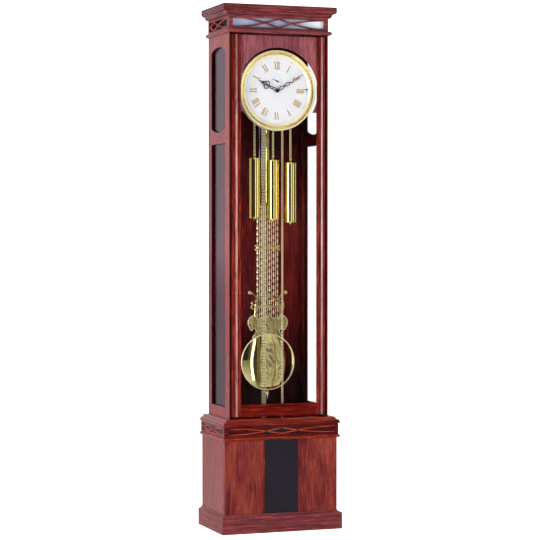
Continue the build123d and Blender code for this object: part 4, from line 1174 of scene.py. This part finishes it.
P = Parts()
y0, y1 = -87.0, -86.1
lathe(P, [(2.9, 0.9), (8.2, 0.9), (8.2, 0.25), (7.9, 0.0), (2.9, 0.0)], (0, y0, DZ), "y", 48, True)
for q in (-1, 1):
    stroke(P, [(0, 6), (q * 4.2, 9.5), (q * 5.0, 14), (q * 3.0, 18.5), (0, 20.5)], 2.6, HOUR, y0, y1)
    stroke(P, [(0, 20), (q * 3.8, 23), (q * 4.3, 26.5), (q * 2.2, 30), (0, 32)], 2.4, HOUR, y0, y1)
stroke(P, [(0, 31), (0, 35), (0, 40)], 4.2, HOUR, y0, y1)
for q in (-1, 1):
    stroke(P, [(0, 38), (q * 5, 38.0), (q * 11.5, 40.5), (q * 15.2, 46.5), (q * 13.5, 52.5), (q * 8.6, 55.4), (q * 4.0, 53.5), (q * 2.4, 49.0), (q * 1.2, 44), (0, 40)], 2.8, HOUR, y0, y1)
    stroke(P, [(q * 8.4, 55), (q * 8.0, 60), (q * 5.0, 65.0), (q * 1.8, 69), (0, 73)], 2.6, HOUR, y0, y1)
    stroke(P, [(q * 3.8, 54), (q * 3.0, 58), (0, 62)], 2.2, HOUR, y0, y1)
ribbon(P, place([(0, 61), (0, 66), (0, 72), (0, 80), (0, 88)], HOUR), lambda t: 5.0 - 3.2 * t, XZ, y0, y1, 0.2)
lathe(P, [(2.7, 0.0), (5.0, 0.0), (5.0, 18.4), (2.7, 18.4)], (0, y1, DZ), "y", 32, True)
make("hour_hand_pierced", P, [hand_black], "hour_hand", nodes=["hour_hand"], weighted=False)

P = Parts()
y0, y1 = -90.0, -89.1
lathe(P, [(0, 28.0), (2.4, 28.0), (2.4, 0.9), (8.4, 0.9), (8.4, 0.2), (8.1, 0.0), (6.6, 0.0), (6.4, -1.4), (5.8, -2.0), (3.3, -2.1), (3.2, -2.8), (2.8, -3.0), (0, -3.0)],
      (0, y0, DZ), "y", 48)
for q in (-1, 1):
    for lo, hi, wide in ((6.0, 34.0, 5.4), (35.5, 61.0, 5.2)):
        loop = [(0, lo), (q * wide * 0.55, lo + (hi - lo) * 0.14), (q * wide, lo + (hi - lo) * 0.40), (q * wide * 0.92, lo + (hi - lo) * 0.66),
                (q * wide * 0.40, lo + (hi - lo) * 0.90), (0, hi)]
        stroke(P, loop, 2.6, MINUTE, y0, y1)
    stroke(P, [(0, 33), (q * 2.6, 35.2), (0, 37.4)], 2.2, MINUTE, y0, y1)
tail = catmull([(0, 60), (1.0, 63), (5.2, 67.5), (6.0, 72), (2.2, 77), (-3.0, 81.5), (-3.2, 86), (0.8, 90.5), (2.6, 95), (0.6, 100), (-0.6, 105), (0, 112), (0, 125)], 6)
ribbon(P, place(tail, MINUTE), lambda t: 4.0 - 2.4 * t, XZ, y0, y1, 0.25)
make("minute_hand_pierced", P, [hand_black], "minute_hand", nodes=["minute_hand"], weighted=False)

P = Parts()
SEC_Z = DZ + 37.0
plate(P, [place([(-1.2, -9.0), (-2.3, -3.5), (-2.5, 0.5), (-1.2, 7.0), (-0.5, 20.5), (0.5, 20.5), (1.2, 7.0), (2.5, 0.5), (2.3, -3.5), (1.2, -9.0)], 295.0, SEC_Z)],
      XZ, -83.5, -84.2, 0, 0.15, 2)
lathe(P, [(0, -84.7), (1.6, -84.6), (2.2, -84.2), (2.4, -83.5), (1.0, -83.5), (1.0, -56.0), (15.0, -56.0), (15.0, -54.5), (3.2, -54.5), (3.2, -50.0), (1.0, -50.0), (1.0, -6.5), (0, -6.5)],
      (0, 0, SEC_Z), "y", 40)
make("seconds_hand_leaf", P, [hand_black], "second_hand", nodes=["second_hand"], weighted=False)

# the shutter that travels with the selector lever and closes its slot from behind
P = Parts()
tilt = 9.8
sector = [(84.0 + 46.5 * math.cos(math.radians(a)), DZ + 46.5 * math.sin(math.radians(a))) for a in range(-16, 37, 2)]
sector += [(84.0 + 35.5 * math.cos(math.radians(a)), DZ + 35.5 * math.sin(math.radians(a))) for a in range(36, -17, -2)]
plate(P, [sector], XZ, -79.6, -80.2, 0, 0.1, 1)
make("selector_shutter", P, [enamel_white], "strike_selector", weighted=False)

# ------------------------------------------------------------------ weights

for i, (t, top, wx) in enumerate(zip(("left", "centre", "right"), (1458.5, 1452.0, 1442.0), (-74.5, 3.0, 76.0))):
    P = Parts()
    prof = [(0, 8.0 - 236 - 16.0), (1.2, -243.9), (2.3, -243.0), (2.6, -241.6), (2.2, -240.4), (2.6, -239.8), (4.6, -239.4), (5.5, -238.4), (5.5, -236.0),
            (22.4, -236.0), (23.4, -235.6), (24.0, -234.6), (24.2, -233.8), (24.0, -233.0), (23.4, -232.0), (22.5, -231.6),
            (22.5, -4.4), (23.4, -4.0), (24.0, -3.0), (24.2, -2.2), (24.0, -1.4), (23.4, -0.4), (22.4, 0.0), (14, 0.5), (6.0, 0.8), (4.9, 1.6), (4.2, 3.0), (2.2, 3.6), (1.7, 4.4), (1.7, 5.6), (0, 6.2)]
    prof[0] = (0, -244.0)
    lathe(P, prof, (wx, -30.0, top), "z", 96)
    tube(P, [(wx + 4.6 * math.cos(a), -30.0, top + 10.5 + 4.6 * math.sin(a)) for a in [math.tau * k / 28 for k in range(28)]], 1.3, 10, True)
    make("weight_shell_" + t, P, [weight_brass], "weight_" + t, nodes=["weight_" + t], angle=35)

# ------------------------------------------------------------------ chains

PITCH, WIRE = 6.2, 1.15


def link(parts, c, d, roll, seg=14, ring=6, mat=0):
    """One oval link, its long axis along d, turned about it by roll."""
    d = Vector(d).normalized()
    ref = Vector((0, 1, 0)) if abs(d.y) < 0.9 else Vector((1, 0, 0))
    u = d.cross(ref).normalized()
    w = d.cross(u)
    side = u * math.cos(roll) + w * math.sin(roll)
    la, lb = (PITCH + 2 * WIRE) / 2 + 0.05, 3.0
    pts = []
    for k in range(seg):
        a = math.tau * k / seg
        ca, sa = math.cos(a), math.sin(a)
        e = 0.75
        x = math.copysign(abs(ca) ** e, ca) * la
        y = math.copysign(abs(sa) ** e, sa) * lb
        pts.append(tuple(Vector(c) + d * x + side * y))
    before = len(parts.v)
    tube(parts, pts, WIRE, ring, True, mat=mat)
    return len(parts.v) - before


TRAVEL, WOUND = 740.0, 84.0
WHEEL_Z = 1694.0
GATHER_Z = WHEEL_Z - 26.0
ROLL0 = math.radians(-20)
for t, wx, fx, top in zip(("left", "centre", "right"), (-74.5, 3.0, 76.0), (-40.5, -31.0, 42.0), (1458.5, 1452.0, 1442.0)):
    # weight side: links hang from the wheel down to the weight, and spare links are stacked just below the wheel; a
    # share of the weight's travel is worked out for each link, but nothing uses it
    P = Parts()
    weights = []
    z = top + 10.5 + 4.1 + 1.0
    k = 0
    near = set()
    while z < WHEEL_Z:
        n = link(P, (wx, -30.0, z), (0, 0, 1), ROLL0 + (math.pi / 2) * (k % 2), mat=k % 2)
        share = max(0.0, min(1.0, (GATHER_Z - z) / WOUND))
        if 0.0 < share < 1.0:
            near.add(round((1.0 - share) * (WOUND + TRAVEL) / PITCH))
        weights += [share] * n
        z += PITCH
        k += 1
    for j in range(1, int((WOUND + TRAVEL) // PITCH)):
        if j in near:
            continue
        share = 1.0 - j * PITCH / (WOUND + TRAVEL)
        n = link(P, (wx, -30.0, GATHER_Z - WOUND * share), (0, 0, 1), ROLL0 + (math.pi / 2) * ((k + j) % 2), 10, 4, (k + j) % 2)
        weights += [share] * n
    o = make("chain_links_weight_" + t, P, [chain_brass, chain_shade], None, nodes=["chain_weight_" + t], weighted=False)
    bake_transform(o)
    # free side: links from 189 mm up to the wheel; a share of the travel, full for the lower links and shrinking
    # towards the wheel, is worked out for each link, but nothing uses it
    P = Parts()
    weights = []
    z = 190.0 - 1.0
    k = 0
    while z < WHEEL_Z:
        n = link(P, (fx, -30.0, z), (0, 0, 1), ROLL0 + 0.1 + (math.pi / 2) * (k % 2), mat=k % 2)
        weights += [max(0.0, min(1.0, (GATHER_Z - z) / TRAVEL))] * n
        z += PITCH
        k += 1
    o = make("chain_links_free_" + t, P, [chain_brass, chain_shade], None, nodes=["chain_free_" + t], weighted=False)
    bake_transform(o)
    # the turn over the wheel
    P = Parts()
    cx = (wx + fx) / 2
    for j in range(11):
        a = math.pi * (j + 0.5) / 11
        c = (cx + 17.0 * math.cos(a), -30.0, WHEEL_Z + 17.0 * math.sin(a))
        link(P, c, (-math.sin(a), 0, math.cos(a)), (math.pi / 2) * (j % 2), mat=j % 2)
    make("chain_turn_" + t, P, [chain_brass, chain_shade], "case", weighted=False)
    finish_node("chain_end_" + t, chain_brass)

# ------------------------------------------------------------------ chimes

finish_node("chime_set", steel_blue)

# ------------------------------------------------------------------ pendulum

P = Parts()
ROD_Y = 26.5
# leader: a strip with a rounded edge, an eye at the top and a small screw
box(P, -5.5, 5.5, ROD_Y - 0.9, ROD_Y + 0.9, 1279, 1684, 0.35, 1)
lathe(P, [(2.06, -1.0), (6.6, -1.0), (7.0, -0.6), (7.0, 0.6), (6.6, 1.0), (2.06, 1.0)], (0, ROD_Y, 1690), "y", 40, True)
lathe(P, [(0, -3.2), (2.6, -3.0), (3.4, -2.2), (3.6, -0.9), (0, -0.9)], (0, ROD_Y, 1533), "y", 24)
box(P, -47, 47, ROD_Y - 2, ROD_Y + 2, 1273, 1285, 0.9)
box(P, -46, 46, ROD_Y - 2, ROD_Y + 2, 796, 806, 0.9)
for i in range(-5, 6):
    x = 8.5 * i
    z0 = 800 if i else 506
    if i % 2:
        # twisted strip
        verts, faces = [], []
        steps = int((1274 - z0) / 2.5)
        for k in range(steps + 1):
            z = z0 + (1274 - z0) * k / steps
            a = math.tau * (z - z0) / 50.0 + i
            ca, sa = math.cos(a), math.sin(a)
            for u, v in ((-2.9, -0.4), (2.9, -0.4), (2.9, 0.4), (-2.9, 0.4)):
                verts.append((x + u * ca - v * sa, ROD_Y + u * sa + v * ca, z))
        for k in range(steps):
            for q in range(4):
                r = (q + 1) % 4
                faces.append((k * 4 + q, k * 4 + r, k * 4 + 4 + r, k * 4 + 4 + q))
        faces += [(0, 1, 2, 3), tuple(range(steps * 4, steps * 4 + 4))]
        P.add(verts, faces, 1)
    else:
        tube(P, [(x, ROD_Y, z0), (x, ROD_Y, (z0 + 1274) / 2), (x, ROD_Y, 1274)], 1.45, 12, mat=1)
# ornamental cross bar with scrolled ends
half = [(0, 6.4), (9, 4.8), (17, 7.4), (25, 4.6), (33, 6.6), (40, 4.4), (43.5, 6.0), (45.5, 9.6), (49.5, 11.6), (53.2, 10.2), (54, 6.6), (51.4, 3.8), (48.6, 2.4), (47.8, 0)]
top = half + [(x, -z) for x, z in reversed(half[:-1])]
full = top[:-1] + [(-x, z) for x, z in reversed(top)][:-1]
plate(P, [catmull([(x, 1106 + z) for x, z in full], 4, True)], XZ, ROD_Y + 2, ROD_Y - 3.0, 0, 0.6, 2)
for q in (-1, 1):
    curl = catmull([(q * x, 1106 + z) for x, z in ((2, -2), (7, -4), (12, -2.4), (15, 1.5), (20, 3.6), (25, 1.6), (29, -2.2), (34, -3.2), (39, -0.6), (43, 1.6))], 5)
    ribbon(P, curl, lambda u: 2.2 - 0.9 * u, XZ, ROD_Y - 3.9, ROD_Y - 2.6, 0.4)
    for x, r in ((17, 2.6), (34, 3.0), (49.6, 2.4)):
        for z in ((1106,) if x < 40 else (1112.6, 1099.4)):
            lathe(P, [(0, -4.9), (r * 0.5, -4.7), (r * 0.85, -4.1), (r, -3.2), (r, -2.9), (0, -2.9)], (q * x, ROD_Y, z), "y", 20)
make("pendulum_gridiron", P, [polished, strip_brass], "pendulum", nodes=["pendulum_rods"], angle=35, weighted=False)

P = Parts()
halfline = [(0, 824), (8, 838), (14, 826), (24, 822), (34, 826), (44, 818), (50, 829), (54, 836), (62, 835), (70, 831), (78, 823), (81, 813), (80, 800), (75, 789), (71, 782), (66, 780),
            (64, 786), (60, 789), (54, 787), (49, 780), (48, 772), (52, 762), (59, 757), (62, 750), (59, 744), (50, 742), (40, 720), (0, 700)]
ring = halfline + [(-x, z) for x, z in reversed(halfline)][1:-1]
plate(P, [catmull(ring, 4, True)], XZ, 24.5, 22.0, 0, 0.6, 2)
for s in (-1, 1):
    arm = catmull([(s * x, z) for x, z in ((55, 828), (51.5, 850), (50, 879), (46.5, 893), (48.5, 906), (57, 918.5), (70, 925))], 6)
    ribbon(P, arm, lambda u: 8.8 - 3.6 * u, XZ, 21.75, 24.3, 0.6)
    sph = [(8.0 * math.sin(math.pi * k / 20), -6.0 * math.cos(math.pi * k / 20)) for k in range(21)]
    lathe(P, sph, (s * 75, 22.75, 927.5), "y", 40)
    for pts, w0, w1, y in ((((50, 896), (57, 894.5), (63.5, 891.5), (66, 886), (62.5, 881.5), (57, 881.8)), 5.6, 4.2, 21.85),
                           (((56, 880.5), (63, 879.5), (68.5, 874.5), (67.5, 867.5), (61, 863.8), (54.5, 866.5), (54.8, 872)), 5.2, 4.0, 21.95)):
        ribbon(P, catmull([(s * x, z) for x, z in pts], 6), lambda u, w0=w0, w1=w1: 1.2 * (w0 + (w1 - w0) * u), XZ, y, 24.35, 0.5)
    curl = catmull([(s * 50.5, 893), (s * 44, 897), (s * 37, 896), (s * 34, 891), (s * 38, 887.5)], 6)
    ribbon(P, curl, lambda u: 4.2 - 1.8 * u, XZ, 22.05, 24.35, 0.5)
# painted highlight: a pale raised border just inside the lyre's outline
edge = Parts()
ribbon(edge, inset(catmull(ring, 4, True), 1.5), 2.8, XZ, 21.3, 22.3, 0.4, True)
bar = catmull([(-54, 869), (-40, 867.5), (-24, 870), (-8, 866.5), (0, 865.5), (8, 866.5), (24, 870), (40, 867.5), (54, 869), (54, 875.5), (40, 877.5), (24, 874.8), (8, 878.5), (0, 880.5),
               (-8, 878.5), (-24, 874.8), (-40, 877.5), (-54, 875.5)], 4, True)
plate(P, [bar], XZ, 24.6, 22.2, 0, 0.5, 2)
bar = catmull([(-48, 905), (-30, 903.5), (-12, 906.5), (0, 904), (12, 906.5), (30, 903.5), (48, 905), (48, 910.5), (30, 912.5), (14, 910.5), (8, 914), (5.5, 922), (2.5, 930), (0, 935),
               (-2.5, 930), (-5.5, 922), (-8, 914), (-14, 910.5), (-30, 912.5), (-48, 910.5)], 4, True)
plate(P, [bar], XZ, 24.6, 22.3, 0, 0.5, 2)
make("pendulum_lyre_edge_highlight", edge, [brass("brass_edge_highlight", rgb(0.960, 0.850, 0.440), 0.30, None, 0.0, 0.08, metallic=0.7)], "pendulum", angle=35)
make("pendulum_lyre_chased", P, [chased], "pendulum", nodes=["pendulum_lyre"], angle=35)

P = Parts()
prof = [(0, 21.6), (109.2, 21.6), (109.2, 20.4), (108.7, 19.85)]
for i in range(1, 57):
    r = 108.7 * (1 - i / 56)
    prof.append((r, 19.85 - 13.4 * (1 - (r / 108.7) ** 2.8)))
lathe(P, prof, (0, 0, 652), "y", 160)
# the rim ring is pale, half-metallic brass: partly brass colour, partly painted highlight
lathe(P, [(108.4, 22.0), (111.6, 22.0), (112.2, 21.7), (112.5, 21.0), (112.4, 20.1), (111.8, 19.1), (110.8, 18.4), (109.8, 18.3), (109.0, 18.7), (108.6, 19.4), (108.4, 20.4)],
      (0, 0, 652), "y", 160, True, mat=1)
make("pendulum_bob_polished", P, [brass("brass_bob", rgb(0.880, 0.730, 0.300), 0.025, None, 0.0, 0.08), brass("brass_bob_rim", rgb(0.960, 0.880, 0.560), 0.36, None, 0.0, 0.05, metallic=0.45)], "pendulum", nodes=["pendulum_bob"], angle=40)

P = Parts()
prof = [(2.05, 523.0), (6.4, 523.0), (7.0, 523.6), (7.0, 524.6), (6.6, 525.0), (6.6, 529.2), (7.0, 529.6), (7.0, 530.4), (6.4, 531.0), (4.5, 531.4), (4.5, 534.0), (2.05, 534.0)]
lathe(P, prof, (0, ROD_Y, 0), "z", 40, True)
make("rating_nut_knurled", P, [polished_round], "pendulum", nodes=["rating_nut"])

# ------------------------------------------------------------------ end

lo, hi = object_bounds()
